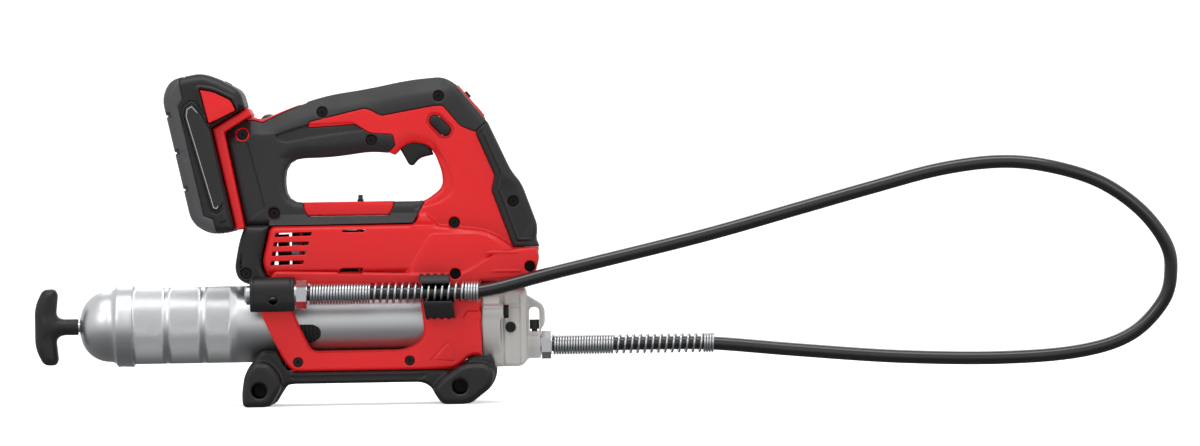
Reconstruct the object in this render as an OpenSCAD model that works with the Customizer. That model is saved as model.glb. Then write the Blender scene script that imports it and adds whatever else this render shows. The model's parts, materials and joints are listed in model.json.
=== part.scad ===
// Cordless grease gun: barrel below, handle loop above, battery behind, whip hose in front.
// Millimetres. +X runs from the T-handle to the hose outlet, -Y is the tool's right side,
// +Z is up and the origin is on the floor under the middle of the tool.

/* [Barrel] */
// Outer diameter of the barrel tube
barrel_d = 57; // [54:0.5:58]
// Wall of the barrel tube
barrel_wall = 1.5; // [1:0.1:2]
// Height of the barrel axis above the floor
barrel_z = 61; // [60.5:0.1:61.5]
// Rear end of the knurled tube
barrel_x0 = -116; // [-120:1:-112]
// Diameter of the plunger rod
rod_d = 8; // [6:0.5:8]
// Length of the T-handle's crossbar
t_length = 57; // [50:1:60]

/* [Body] */
// Half width of the handle loop
loop_half = 18; // [17.5:0.1:18.5]
// Half width of the motor body
motor_half = 30; // [29.5:0.1:30]
// Half width of the lower barrel frame
frame_half = 34; // [33.9:0.1:34]
// Half width across the feet
foot_half = 54; // [52:1:56]
// Wall of the moulded shells
wall = 3; // [2.6:0.1:3]
// Thickness of the soft grip over the red shell
grip_t = 2; // [1.6:0.1:2.2]
// Diameter of the holes in the feet
foot_hole_d = 11.2; // [9:0.1:12]
// Depth of the holes in the feet
foot_hole_depth = 34; // [30:1:36]

/* [Drive] */
// Height of the motor and crank axis
drive_z = 114.5; // [114.2:0.1:114.8]
// Gear module of the planetary stage
gear_m = 0.6; // [0.6:0.01:0.61]
// Teeth of the sun gear
sun_teeth = 12; // [12]
// Teeth of each planet gear
planet_teeth = 15; // [15]
// Throw of the pump crank
crank_throw = 3; // [2.5:0.1:3]

/* [Battery] */
// Lean of the battery rail from the vertical, in degrees
battery_lean = 12.36; // [12:0.01:12.6]
// Half width of the battery
battery_half = 38.5; // [38:0.1:40]
// Diameter of one cell
cell_d = 21.2; // [20:0.1:21.4]

/* [Hose] */
// Outer diameter of the whip hose
hose_d = 10; // [9:0.1:10]
// Height of the hose outlet's axis
outlet_z = 42; // [41.8:0.1:42.2]
// Sideways place of the parked coupler's axis
coupler_y = -43.4; // [-43.5:0.1:-43.3]
// Height of the parked coupler's axis
coupler_z = 83; // [82.5:0.1:83.5]

/* [Hidden] */
$fn = 64;
gap = 0.3;                       // free gap between neighbouring moulded pieces
barrel_r = barrel_d / 2;
barrel_x1 = 156;                 // front end of the tube, inside the pump head
head_x0 = 144;                   // rear face of the pump head
cradle_r = barrel_r + gap;
plate_in = barrel_r + 1.8;       // inner face of the lower frame's side plates
red = [0.86, 0.13, 0.14];
black = [0.13, 0.13, 0.14];
steel = [0.78, 0.79, 0.80];

// ---- outlines: each point is [x, z, corner length], run anticlockwise in the X-Z plane ----
function unit(v) = v / norm(v);
// Outline corner i moved inwards by d, with its corner length kept in step
function moved(p, i, d) =
    let (n = len(p), a = p[(i + n - 1) % n], b = p[i], c = p[(i + 1) % n],
         u = unit([b[0] - a[0], b[1] - a[1]]), v = unit([c[0] - b[0], c[1] - b[1]]),
         turn = u[0] * v[1] - u[1] * v[0],
         m = [-u[1] - v[1], u[0] + v[0]] / max(0.4, 1 + u * v))
    [b[0] + d * m[0], b[1] + d * m[1], max(0.3, b[2] - d * turn)];
function inset(p, d) = [for (i = [0:len(p) - 1]) moved(p, i, d)];
// Curve that rounds corner b between its neighbours
function corner(a, b, c) =
    let (ab = [a[0] - b[0], a[1] - b[1]], cb = [c[0] - b[0], c[1] - b[1]], q = [b[0], b[1]],
         t = min(b[2], 0.48 * norm(ab), 0.48 * norm(cb)),
         p0 = q + t * unit(ab), p1 = q + t * unit(cb))
    [for (s = [0, 1 / 3, 2 / 3, 1]) (1 - s) * (1 - s) * p0 + 2 * s * (1 - s) * q + s * s * p1];
function rounded(p) =
    let (n = len(p)) [for (i = [0:n - 1]) each corner(p[(i + n - 1) % n], p[i], p[(i + 1) % n])];

// Prism of a plain outline between two Y values
module prism(p, y0, y1) {
    translate([0, y1, 0]) rotate([90, 0, 0]) linear_extrude(y1 - y0) polygon(p);
}
// Solid whose outline is inset layer by layer: layers are [y, inset]. A closed rim carries the
// shaped edge and a plain prism fills it.
rim = 0.6;
module stack(p, layers) {
    y0 = layers[0][0];
    y1 = layers[len(layers) - 1][0];
    deep = max([for (l = layers) l[1]]) + rim;
    loop = concat(layers, [[y1, deep], [y0, deep]]);
    rings = [for (l = loop) rounded(inset(p, l[1]))];
    n = len(rings[0]);
    k = len(loop);
    polyhedron([for (j = [0:k - 1]) for (q = rings[j]) [q[0], loop[j][0], q[1]]],
        [for (j = [0:k - 1]) for (i = [0:n - 1])
            let (a = j * n, b = ((j + 1) % k) * n, c = (i + 1) % n) [a + i, a + c, b + c, b + i]]);
    prism(rounded(inset(p, deep - rim / 2)), y0, y1);
}
// Right half of a rounded body: half width w, edge radius e, cut at y = y1
module half(p, w, e, y1 = 0, start = 0) {
    stack(p, concat([for (a = [0:45:90]) [-(w - e + e * cos(a)), start + e * (1 - sin(a))]],
        [[y1, start]]));
}
// Straight-walled solid of a rounded outline, moved inwards by d
module slab(p, y0, y1, d = 0) { prism(rounded(inset(p, d)), y0, y1); }
// Whole body, rounded on both sides
module both(p, w, e, start = 0) {
    stack(p, concat([for (a = [0:30:90]) [-(w - e + e * cos(a)), start + e * (1 - sin(a))]],
        [for (a = [90:-30:0]) [w - e + e * cos(a), start + e * (1 - sin(a))]]));
}
// Cylinder along X, from x0 to x1, about the axis at y, z
module along_x(r, x0, x1, y = 0, z = 0) {
    translate([x0, y, z]) rotate([0, 90, 0]) cylinder(r = r, h = x1 - x0);
}
module along_y(r, y0, y1, x, z) {
    translate([x, y1, z]) rotate([90, 0, 0]) cylinder(r = r, h = y1 - y0);
}
module block(x0, x1, y0, y1, z0, z1) {
    translate([x0, y0, z0]) cube([x1 - x0, y1 - y0, z1 - z0]);
}
// Turned solid about the X axis from [x, radius] points
module turned(p, z = 0, y = 0) {
    translate([0, y, z]) rotate([0, 90, 0]) rotate_extrude()
        polygon([for (q = p) [q[1], q[0]]]);
}
module hexagon_x(across, x0, x1, y, z) {
    translate([x0, y, z]) rotate([0, 90, 0]) cylinder(r = across / sqrt(3), h = x1 - x0, $fn = 6);
}

// ---- main outlines ----
// Handle loop, nose and rail seen from the side
LOOP = [[-13.2, 92, 1], [183.5, 91.5, 4], [187, 116, 3], [184.3, 121, 3], [185.6, 131, 6],
    [174, 163, 10], [166.5, 172, 8], [149, 210, 4], [126, 238, 4], [117, 243, 7],
    [92, 241, 14], [60, 234.5, 16], [30, 230.5, 16], [0, 220.7, 14], [-17, 212.6, 8],
    [-29, 214, 2], [-45, 203.8, 2], [-31, 133.8, 2], [-13.2, 133.8, 1]];
// Opening for the hand
HAND = [[-1.6, 150.8, 14], [102.5, 150.6, 6], [116.2, 161, 7], [115.8, 172, 6],
    [110.6, 186, 4], [105.4, 192.6, 4], [94, 195, 5], [87, 191.8, 3], [80.6, 185.4, 1],
    [76, 187.5, 3], [62, 188.6, 8], [32, 184.6, 14], [-1.6, 184.4, 15]];
// The same two outlines without their small steps, for the hollow inside
CORE = [[-13.2, 92, 1], [183.5, 91.5, 4], [185.2, 128, 8], [172, 164, 10], [149, 210, 4],
    [126, 238, 4], [117, 243, 7], [92, 241, 14], [60, 234.5, 16], [30, 230.5, 16],
    [0, 220.7, 14], [-17, 212.6, 8], [-45, 203.8, 2], [-31, 133.8, 2], [-13.2, 133.8, 1]];
HAND_CORE = [[-1.6, 150.8, 14], [102.5, 150.6, 6], [116.2, 161, 7], [115.8, 172, 6],
    [110.6, 186, 4], [105.4, 192.6, 4], [94, 195, 5], [84, 188.4, 5], [62, 188.6, 8],
    [32, 184.6, 14], [-1.6, 184.4, 15]];
// Motor body
MOTOR = [[-14, 95.5, 3], [165, 93, 6], [172, 112, 8], [152, 128, 12], [104, 133.6, 8],
    [-12.4, 133.6, 4], [-18.9, 106, 8]];
// Lower frame that carries the barrel, and its window
FRAME = [[-21, 69.8, 1], [-4.5, 34, 5], [2, 25.6, 6], [125, 25.6, 10], [135, 35.6, 5],
    [head_x0 - 0.4, 35.6, 1], [head_x0 - 0.4, 90, 1], [183, 91.6, 3], [187, 108, 4], [185, 116, 3],
    [156, 113.6, 6], [129, 97, 8], [-10, 101, 3], [-15, 92, 3]];
WINDOW = [[4.2, 69, 8], [17.5, 40.8, 5], [88, 40.8, 8], [101.5, 50, 8], [97.5, 88.2, 4],
    [0.5, 88.2, 6]];
// Rear end cap of the motor body
REAR = [[-14.3, 96, 1], [-19.3, 106, 6], [-12.8, 133.6, 1], [-31.3, 133.6, 2], [-35.8, 122, 8],
    [-39.2, 103, 8], [-36.5, 94.5, 6], [-29, 90.6, 5], [-17, 90.6, 3]];
// Red shell areas of the loop: nose and handle tongue, and the motor side
NOSE_ZONE = [[16.5, 206.8], [51.5, 208.8], [63, 201.8], [79.5, 200.7], [81.3, 192.5],
    [75.8, 187.2], [79, 176], [90, 160], [102.4, 150.6], [94, 134.3], [60, 120], [60, 80],
    [200, 80], [200, 115.7], [168, 115.7], [152.7, 158], [155.2, 169], [141.3, 201.5],
    [130, 206.2], [117, 221.7], [110, 221.5], [70.5, 214.6], [65, 218.2], [59, 220.4],
    [17.8, 211]];
GUARD_ZONE = [[168, 115.7], [200, 115.7], [200, 240], [151, 211], [141.3, 201.5],
    [155.2, 169], [152.7, 158]];
// Soft grip area, bounded by the red nose
GRIP_ZONE = concat([[-60, 133.7]], [for (i = [9:-1:0]) NOSE_ZONE[i]],
    [for (i = [len(NOSE_ZONE) - 1:-1:17]) NOSE_ZONE[i]], [[151, 211], [151, 260], [-60, 260]]);
INSERT = [[12.4, 152.5, 0.5], [12.4, 146, 2], [15.4, 140.6, 1.5], [76, 140.6, 1.5],
    [79.4, 147, 2], [79.4, 152.5, 0.5]];
// Right-side screws: place in the X-Z plane and how far out their bosses reach
SCREWS = [[27.3, 218.2, 15], [114, 228.9, 15], [63.5, 196.6, 15], [-32.4, 202.4, 15],
    [-9.8, 143.4, 15], [168.4, 149.5, 15], [124.3, 134.4, 15], [180.2, 101, 31],
    [124.7, 96.4, 31]];
REAR_SCREW = [-30.7, 99];
REAR_BOSS = SCREWS[3];

// ---- red clamshell ----
// Outer skin of the loop, right half
module loop_skin() {
    difference() {
        half(LOOP, loop_half, 5);
        slab(HAND, -60, 1);
    }
}
// Red core under the soft grips, up to y1
module loop_core(y1) {
    difference() {
        slab(CORE, -loop_half + grip_t, y1, grip_t);
        slab(HAND_CORE, -60, y1 + 1, -grip_t);
    }
}
module loop_cavity() {
    difference() {
        slab(CORE, -loop_half + grip_t + wall, 2, grip_t + wall);
        slab(HAND_CORE, -60, 3, -grip_t - wall);
    }
}
module trigger_slot() {
    prism([[83.2, 191.5], [90, 178], [116, 180], [113, 186.5], [107, 206], [96, 212],
        [74.5, 208]], -9.4, 9.4);
}
FRONT_BLOCK = [[100, 25.6], [125, 25.6], [135, 35.6], [head_x0 - 0.4, 35.6],
    [head_x0 - 0.4, 94], [97, 94], [101, 60]];
BOTTOM_RAIL = [[2.6, 25.6], [104, 25.6], [104, 49], [100, 49], [88, 40.8], [17, 40.8],
    [-2, 33]];
module frame_side() {
    difference() {
        stack(FRAME, [[-frame_half, 1.6], [-frame_half + 1.6, 0], [-plate_in, 0]]);
        slab(WINDOW, -60, 0);
    }
    prism(BOTTOM_RAIL, -plate_in - 0.6, -22);
    prism(FRONT_BLOCK, -plate_in - 0.6, 0);
}
module vents() {
    for (i = [0:3])
        prism([[-12.3 + i * 1.1, 104.8 + 7 * i], [11.5 + i * 2.1, 105.4 + 7 * i],
            [12.5 + i * 2.1, 108 + 7 * i], [-11.7 + i * 1.1, 107.6 + 7 * i]], -40, -20);
    block(40, 56.5, -40, -20, 128.6, 130);
    block(39, 56, -40, -20, 99.2, 101.4);
}
module half_shell() {
    difference() {
        union() {
            difference() {
                union() {
                    loop_core(0);
                    intersection() {
                        loop_skin();
                        prism(NOSE_ZONE, -60, 1);
                    }
                    half(MOTOR, motor_half, 7);
                }
                loop_cavity();
                slab(MOTOR, -motor_half + wall, 1, wall);
            }
            frame_side();
            // ribs that seat the motor and the gearbox
            for (x = [9, 52, 70]) block(x, x + 3, -motor_half + 3, 0, 98, 131);
            for (s = SCREWS) along_y(5.8, -s[2], 0, s[0], s[1]);
        }
        along_x(16, -25, 100, 0, drive_z);
        along_x(cradle_r, -60, head_x0 + 1, 0, barrel_z);
        // saddle and tower of the pump head
        along_x(33.2, head_x0 - 0.4, 182, 0, barrel_z);
        block(head_x0 - 0.4, 176.5, -14, 1, 70, 134);
        trigger_slot();
        vents();
        slab(INSERT, -60, 1, -gap);
        prism([[-13.2, 134.2], [-60, 134.2], [-60, 80], [-13.2, 80]], -16, 1);
        // pockets of the lock-off button and the front panel
        prism(button_outline(0.35), -60, 1);
        panel_place() block(-1, 36, -12.4, 1, -4.4, 6);
    }
}
module right_housing() {
    color(red) difference() {
        half_shell();
        for (s = SCREWS) {
            along_y(4.1, -60, -10, s[0], s[1]);
            along_y(2, -11, 1, s[0], s[1]);
        }
        base_screw_cuts();
    }
}
module left_housing() {
    color(red) difference() {
        mirror([0, 1, 0]) half_shell();
        for (s = SCREWS) along_y(1.72, -1, 11, s[0], s[1]);
        mirror([0, 1, 0]) base_screw_cuts();
    }
}
// ---- soft black grips over the loop ----
module grip_half() {
    difference() {
        intersection() {
            half(LOOP, loop_half, 5);
            prism(GRIP_ZONE, -60, 60);
        }
        slab(HAND, -60, 1);
        loop_core(1);
        loop_cavity();
        // the rear boss stands above the core
        along_y(5.9, -REAR_BOSS[2] - 0.1, 1, REAR_BOSS[0], REAR_BOSS[1]);
        slab(INSERT, -60, 2, -gap);
        panel_place() block(-1, 36, -12.4, 2, -4.4, 6);
    }
}
module right_grip() {
    color(black) difference() {
        grip_half();
        for (s = SCREWS) along_y(4.1, -60, -13, s[0], s[1]);
    }
}
module left_grip() { color(black) mirror([0, 1, 0]) grip_half(); }
// Guard that wraps the nose
module front_guard() {
    color(black) difference() {
        intersection() {
            both(inset(LOOP, -0.6), loop_half + 2, 5);
            prism(GUARD_ZONE, -60, 60);
        }
        for (s = [0, 1]) mirror([0, s, 0]) {
            loop_core(1);
            loop_cavity();
        }
        for (s = SCREWS) along_y(4.1, -60, -13, s[0], s[1]);
    }
}
module rear_cover() {
    color(black) difference() {
        union() {
            difference() {
                both(REAR, motor_half, 3.5);
                slab(REAR, -motor_half + wall, motor_half - wall, wall);
                // open towards the motor
                block(-22, -10, -26, 26, 99, 130);
            }
            along_y(5.4, -motor_half + 4, motor_half - 4, REAR_SCREW[0], REAR_SCREW[1]);
        }
        along_y(4.1, -60, -22, REAR_SCREW[0], REAR_SCREW[1]);
        along_y(1.72, -23, 2, REAR_SCREW[0], REAR_SCREW[1]);
    }
}
// ---- base with four feet ----
BASE = [[-33.5, 0, 4], [-13.5, 0, 5], [-3.5, 16.5, 8], [103, 16.5, 8], [114, 0, 4], [134, 0, 5],
    [151, 13, 6], [154.5, 24, 5], [151.5, 35.2, 3], [134.8, 35.2, 5], [125, 25.2, 10],
    [1.6, 25.1, 6], [-5.7, 34.8, 4], [-8.8, 41.5, 1], [-19.5, 41.5, 3], [-31, 28, 8],
    [-34.3, 10, 6]];
REAR_FOOT = [[-33.4, 0, 4], [-13.6, 0, 5], [-4.7, 14.8, 6], [-7, 24, 5], [-15, 33, 6],
    [-25, 32.8, 5], [-31.8, 25, 6], [-34.1, 10, 6]];
FRONT_FOOT = [[114.1, 0, 4], [133.9, 0, 5], [150.6, 13, 6], [152.8, 24, 5], [146, 30, 6],
    [130, 29.8, 6], [112, 18, 6], [107, 10.4, 6]];
foot_holes = [[-21.2, 12.2], [127.3, 13.1]];
module base() {
    color(black) difference() {
        union() {
            for (s = [0, 1]) mirror([0, s, 0]) {
                slab(BASE, -frame_half - 0.6, -22.4);
                for (f = [REAR_FOOT, FRONT_FOOT])
                    stack(f, [[-foot_half, 2.6], [-foot_half + 2.6, 0.6], [-frame_half, 0]]);
                // flange inside the red rail, for the base screws
                block(-6, 96, -23, -18.5, 18, 36);
            }
            block(-24, 140, -23.4, 23.4, 17.2, 24.8);
            for (h = foot_holes) block(h[0] - 9, h[0] + 9, -23.4, 23.4, 3, 22);
        }
        for (s = [0, 1]) mirror([0, s, 0]) block(-5, 127, -33, -21.7, 25.3, 40);
        along_x(cradle_r + 0.5, -60, 170, 0, barrel_z);
        along_x(33.4, 143.4, 170, 0, barrel_z);
        block(148, 160, -head_half - 0.7, head_half + 0.7, 26, 60);
        for (h = foot_holes) for (s = [0, 1]) mirror([0, s, 0])
            along_y(foot_hole_d / 2, -60, foot_hole_depth - foot_half, h[0], h[1]);
        for (x = base_screw_x) along_y(1.3, -30, 30, x, base_screw_z);
    }
}
base_screw_x = [7, 90];
base_screw_z = 32.6;
module base_screw_cuts() {
    for (x = base_screw_x) {
        along_y(3.7, -60, -frame_half + 3, x, base_screw_z);
        along_y(1.5, -50, -20, x, base_screw_z);
    }
}
// Socket-headed screw along Y: the head's outer face at y0, the tip at y1
module screw(head_r, shank_r, y0, head_h, y1, x, z) {
    difference() {
        union() {
            along_y(head_r, y0, y0 + head_h, x, z);
            along_y(shank_r, y0 + head_h / 2, y1, x, z);
        }
        along_y(1.4, y0 - 1, y0 + head_h * 0.6, x, z, $fn = 6);
    }
}
module screws() {
    color([0.2, 0.2, 0.21]) {
        for (s = SCREWS) screw(3.6, 1.7, -12.8, 2.7, 9.5, s[0], s[1]);
        screw(3.6, 1.7, -24.8, 2.7, 0, REAR_SCREW[0], REAR_SCREW[1]);
        for (x = base_screw_x) for (s = [0, 1]) mirror([0, s, 0])
            screw(3.2, 1.28, -frame_half + 0.8, 2.1, -19.5, x, base_screw_z);
    }
}

// ---- controls ----
module trigger() {
    color(black) difference() {
        union() {
            stack([[84.2, 190.6, 1], [91.2, 177.8, 2], [94, 177.4, 2], [99, 183.2, 5],
                [109.3, 185.4, 1], [106.8, 192.4, 2], [100, 202, 1], [80, 198.5, 1]],
                [[-8.8, 1.2], [-7.4, 0], [7.4, 0], [8.8, 1.2]]);
            block(83, 88, -4, 4, 196, 203);
        }
        block(88, 98, -6.5, 6.5, 188, 200);
    }
}
module switch_module() {
    color([0.2, 0.2, 0.22]) union() {
        block(68, 92, -8.5, 8.5, 213, 226);
        block(72, 86, -3, 3, 209.2, 214);
    }
}
function button_outline(d) =
    rounded(inset([[109, 213.8, 2], [107.2, 209.6, 2], [116.6, 199.6, 3], [121, 200, 2],
        [122.6, 204.2, 2], [113, 214, 3]], -d));
module lock_button() {
    color(black) prism(button_outline(0), -loop_half - 1.6, loop_half + 1.6);
}
module panel_place() {
    translate([126.2, 0, 237.6]) rotate([0, 49.7, 0]) children();
}
panel_length = 34;
module speed_panel() {
    color(red) panel_place() difference() {
        union() {
            block(0, panel_length, -12, 12, -4, 0.4);
            block(2, panel_length - 2, -8, 8, 0, 1.4);
        }
        block(9, 20, -4.2, 4.2, -5, 3);
        block(21.6, 29, -5.2, 5.2, -2.4, 3);
    }
}
module speed_slider() {
    color(black) panel_place() union() {
        block(9.5, 14.5, -3.9, 3.9, -3, 3.2);
        block(9.3, 14.7, -3.9, 3.9, 1.6, 2.2);
    }
}
module lamp_lens() {
    color([0.85, 0.87, 0.9]) panel_place() block(21.8, 28.8, -5, 5, -2.2, 1.9);
}
module control_board() {
    color([0.1, 0.35, 0.2]) union() {
        block(128, 130, -11, 11, 150, 196);
        for (z = [156, 168, 180]) block(130, 134, -7, 7, z, z + 8);
    }
}
module rail_insert() {
    color(red) difference() {
        both(INSERT, loop_half + 0.4, 2);
        block(0, 100, -50, 50, 151.2, 160);
        block(51.5, 66.8, -3.8, 3.8, 138, 160);
        block(18, 74, -loop_half + 2, loop_half - 2, 139, 148);
    }
}
module rail_slider() {
    color(black) union() {
        block(52, 56.5, -3.5, 3.5, 148.2, 153);
        block(52.6, 55.9, -3, 3, 152, 156.2);
        block(50, 58.5, -6, 6, 146, 147.7);
        block(53, 55.5, -2.5, 2.5, 147, 149);
    }
}

// ---- hose holders on the right side of the frame ----
module section_x(p, x0, x1) {
    translate([x0, 0, 0]) rotate([90, 0, 90]) linear_extrude(x1 - x0) polygon(p);
}
module coupler_holder() {
    color(black) difference() {
        section_x(rounded([[-frame_half - 0.05, 70.4, 1], [-frame_half - 0.05, 96, 1],
            [-48, 96, 5], [-53.8, 90, 4], [-53.8, 76, 4], [-50, 70.4, 3]]), -27, 5.8);
        along_x(8.2, -30, 10, coupler_y, coupler_z);
        translate([-9.9, -40, 78.6]) rotate([90, 0, 0]) cylinder(r = 3, h = 30);
    }
}
module hose_clip() {
    color(black) difference() {
        section_x(rounded([[-frame_half - 0.05, 62.8, 1], [-frame_half - 0.05, 97, 1],
            [-46, 97, 3], [-50.5, 92, 2], [-49.4, 83, 0.5], [-50.5, 74, 2], [-46, 62.8, 3]]),
            99, 123.4);
        along_x(8.15, 90, 130, coupler_y, coupler_z);
        block(90, 130, -60, coupler_y, coupler_z - 6.6, coupler_z + 6.6);
        for (i = [0:2]) for (z = [62, 97.8])
            along_y(1.6, -60, -frame_half - 1.2, 104.5 + i * 6.8, z);
    }
}
module barrel_pad() {
    color(black) difference() {
        intersection() {
            along_x(plate_in - 0.2, -3, 24.2, 0, barrel_z);
            block(-10, 30, -40, -10, 46.4, 60.6);
        }
        along_x(barrel_r + 0.15, -10, 30, 0, barrel_z);
        for (i = [0:4]) block(9 + 2.8 * i, 10 + 2.8 * i, -40, -plate_in + 1.2, 40, 70);
    }
}

// ---- pump head ----
plunger_x = 163;
head_half = 23.5;
sleeve_r = 5.4;                  // clears the barrel's front end
HEAD = [[150, 26.6, 2], [173, 26.8, 4], [176.8, 30.5, 3], [176.8, 84, 3], [150, 84, 2]];
STRAP = [[170, 48, 0.4], [187, 48, 0.4], [187.2, 53.4, 1], [190.3, 58, 2], [190.3, 71.5, 4],
    [178, 79, 2], [175, 82, 1], [170, 82, 0.4]];
module pump_head() {
    color([0.70, 0.69, 0.67]) difference() {
        union() {
            along_x(32.6, head_x0, 158, 0, barrel_z);
            both(HEAD, head_half, 4);
            block(head_x0 + 2, 175.6, -12.8, 12.8, 80, 131);
            along_x(9.8, 170, 187, 0, outlet_z);
            stack(STRAP, [[-4.2, 1], [-3.2, 0], [3.2, 0], [4.2, 1]]);
            along_x(5.6, head_x0 + 0.3, 160, -29.2, 67.7);
        }
        along_x(barrel_r + 0.06, head_x0 - 1, barrel_x1 + 1.6, 0, barrel_z);
        // strap slot, which also clears the bleed knob
        stack([[178.6, 51.9, 0.4], [186.3, 51.9, 0.4], [186.3, 70.4, 3.6], [178.6, 70.4, 3.6]],
            [[-10, 0], [10, 0]]);
        // crank chamber, crank bearing seat and plunger bores
        block(154.6, 171.4, -9, 9, 99, 140);
        along_x(9.03, 147, 152, 0, drive_z);
        along_x(5.8, 140, 160, 0, drive_z);
        translate([plunger_x, 0, 50]) cylinder(r = sleeve_r + 0.03, h = 60);
        translate([plunger_x, 0, outlet_z]) cylinder(r = 2.5, h = 10);
        along_x(2.4, barrel_x1, plunger_x, 0, barrel_z);
        // outlet: ball seat, ball chamber and fitting bore
        along_x(2, plunger_x, 171, 0, outlet_z);
        along_x(3.6, 171, 181, 0, outlet_z);
        along_x(5.04, 180, 190, 0, outlet_z);
        translate([182.5, 0, outlet_z]) cylinder(r = 2.15, h = 20);
        along_y(3.03, -30, -18, 165, 56);
        along_x(2.53, 158.1, 161, -29.2, 67.7);
        // cooling flutes on the casting's right face
        for (x = [161.5, 170.5]) block(x, x + 1.6, -25, -22.7, 31, 80);
    }
}
module relief_valve() {
    color(black) union() {
        hexagon_x(8.6, 160.2, 163.8, -29.2, 67.7);
        along_x(2.5, 158.3, 161, -29.2, 67.7);
    }
}
module filler_plug() {
    color(black) difference() {
        union() {
            along_y(3.9, -25.4, -23.6, 165, 56);
            along_y(3, -24, -19, 165, 56);
        }
        block(160, 170, -26, -24.6, 55.5, 56.5);
    }
}
module bleed_valve() {
    color(black) translate([182.5, 0, 0]) difference() {
        union() {
            translate([0, 0, 54]) cylinder(r = 3.6, h = 7);
            translate([0, 0, 49]) cylinder(r = 2.1, h = 6);
        }
        for (a = [0:30:330]) rotate(a) translate([3.8, 0, 55]) cylinder(r = 0.45, h = 7, $fn = 16);
    }
}
module pump_sleeve() {
    color(steel) translate([plunger_x, 0, 0]) difference() {
        translate([0, 0, 50.2]) cylinder(r = sleeve_r, h = 46.5);
        translate([0, 0, 49]) cylinder(r = 4.03, h = 60);
        translate([-20, 0, barrel_z]) rotate([0, 90, 0]) cylinder(r = 2.2, h = 20);
    }
}
module pump_plunger() {
    window = crank_throw * 2 + 2.9;
    color(steel) translate([plunger_x, 0, 0]) union() {
        translate([0, 0, 55]) cylinder(r = 4, h = 49);
        difference() {
            translate([-4, -8.3, drive_z - window - 3]) cube([8, 16.6, 2 * window + 6]);
            translate([-5, -crank_throw - 2.9, drive_z - window])
                cube([10, 2 * crank_throw + 5.8, 2 * window]);
        }
    }
}
module check_ball() { color(steel) translate([173.4, 0, outlet_z]) sphere(r = 3.1); }
module coil(r_out, r_in, x0, x1, turns, y, z) {
    // spring drawn as a sleeve with one rounded ridge for each turn
    pitch = (x1 - x0) / turns;
    mid = r_out - min(pitch, r_out - r_in) * 0.42;
    turned(concat([[x0, r_in]], [for (i = [0:turns - 1]) each [[x0 + pitch * i, mid],
        [x0 + pitch * (i + 0.28), r_out], [x0 + pitch * (i + 0.62), r_out]]],
        [[x1, mid], [x1, r_in]]), z, y);
}
module check_spring() { color(steel) coil(3.1, 2.1, 177.9, 180.6, 3, 0, outlet_z); }

// ---- barrel ----
module barrel_tube() {
    color([0.80, 0.81, 0.82]) difference() {
        along_x(barrel_r, barrel_x0 - 9, barrel_x1, 0, barrel_z);
        along_x(barrel_r - barrel_wall, -200, 200, 0, barrel_z);
        // two plain bands in the knurled rear part
        for (x = [-92.5, -65.4]) translate([x, 0, barrel_z]) rotate([0, 90, 0]) difference() {
            cylinder(r = barrel_r + 1, h = 3);
            translate([0, 0, -1]) cylinder(r = barrel_r - 0.4, h = 5);
        }
    }
}
module barrel_cap() {
    dome = [for (a = [0:10:80]) [-134 - 22 * sin(a), 5 + 21.5 * cos(a)]];
    color([0.80, 0.81, 0.82]) difference() {
        turned(concat([[barrel_x0, 0], [barrel_x0, 29.9], [barrel_x0 - 0.8, 30.5],
            [barrel_x0 - 12, 30.5], [barrel_x0 - 13, 30], [barrel_x0 - 14, 28.4],
            [barrel_x0 - 16, 27]], dome, [[-156.2, 6.6], [-156.2, 0]]), barrel_z);
        turned(concat([[barrel_x0 + 1, 0], [barrel_x0 + 1, barrel_r + 0.02],
            [barrel_x0 - 9.2, barrel_r + 0.02], [barrel_x0 - 9.2, 26.4], [-134, 24.4]],
            [for (q = dome) [q[0] + 2.4, max(6, q[1] - 2.2)]], [[-152, 0]]), barrel_z);
        along_x(rod_d / 2 + 0.06, -170, -100, 0, barrel_z);
    }
}
module barrel_gasket() {
    color(black) turned([[barrel_x1 + 0.1, 25.6], [barrel_x1 + 0.1, barrel_r - 0.4],
        [barrel_x1 + 1.5, barrel_r - 0.4], [barrel_x1 + 1.5, 25.6]], barrel_z);
}
module follower() {
    r = barrel_r - barrel_wall - 0.1;
    color([0.15, 0.15, 0.16]) difference() {
        turned([[138, 0], [138, 12], [141, 16], [141, r - 3], [139, r], [146, r], [149, r - 4],
            [149, 0]], barrel_z);
        along_x(rod_d / 2 + 0.05, 130, 146.2, 0, barrel_z);
    }
}
module follower_spring() {
    color(steel) coil(19, 16.8, -130, 140.6, 26, 0, barrel_z);
}
module plunger_rod() {
    color(steel) along_x(rod_d / 2, -176, 146, 0, barrel_z);
}
t_half = t_length / 2;
T_BAR = [[-175.6, barrel_z, 18], [-172.8, barrel_z + t_half - 4, 3],
    [-175, barrel_z + t_half, 3], [-184, barrel_z + t_half, 5],
    [-190.3, barrel_z + t_half - 13, 9], [-190.3, barrel_z - t_half + 13, 9],
    [-184, barrel_z - t_half, 5], [-175, barrel_z - t_half, 3],
    [-172.8, barrel_z - t_half + 4, 3]];
module t_handle() {
    color(black) difference() {
        union() {
            both(T_BAR, 8, 3);
            turned([[-180, 0], [-180, 7.4], [-172, 6.4], [-158, 6], [-158, 0]], barrel_z);
        }
        along_x(rod_d / 2 + 0.02, -176.1, -150, 0, barrel_z);
    }
}

// ---- motor and gears ----
shaft_r = 2.5;
pressure = 25;
ring_teeth = sun_teeth + 2 * planet_teeth;
planet_x0 = 66.5;
planet_x1 = 74;
centre = gear_m * (sun_teeth + planet_teeth) / 2;
function involute(a) = tan(a) * 180 / PI - a;
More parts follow.
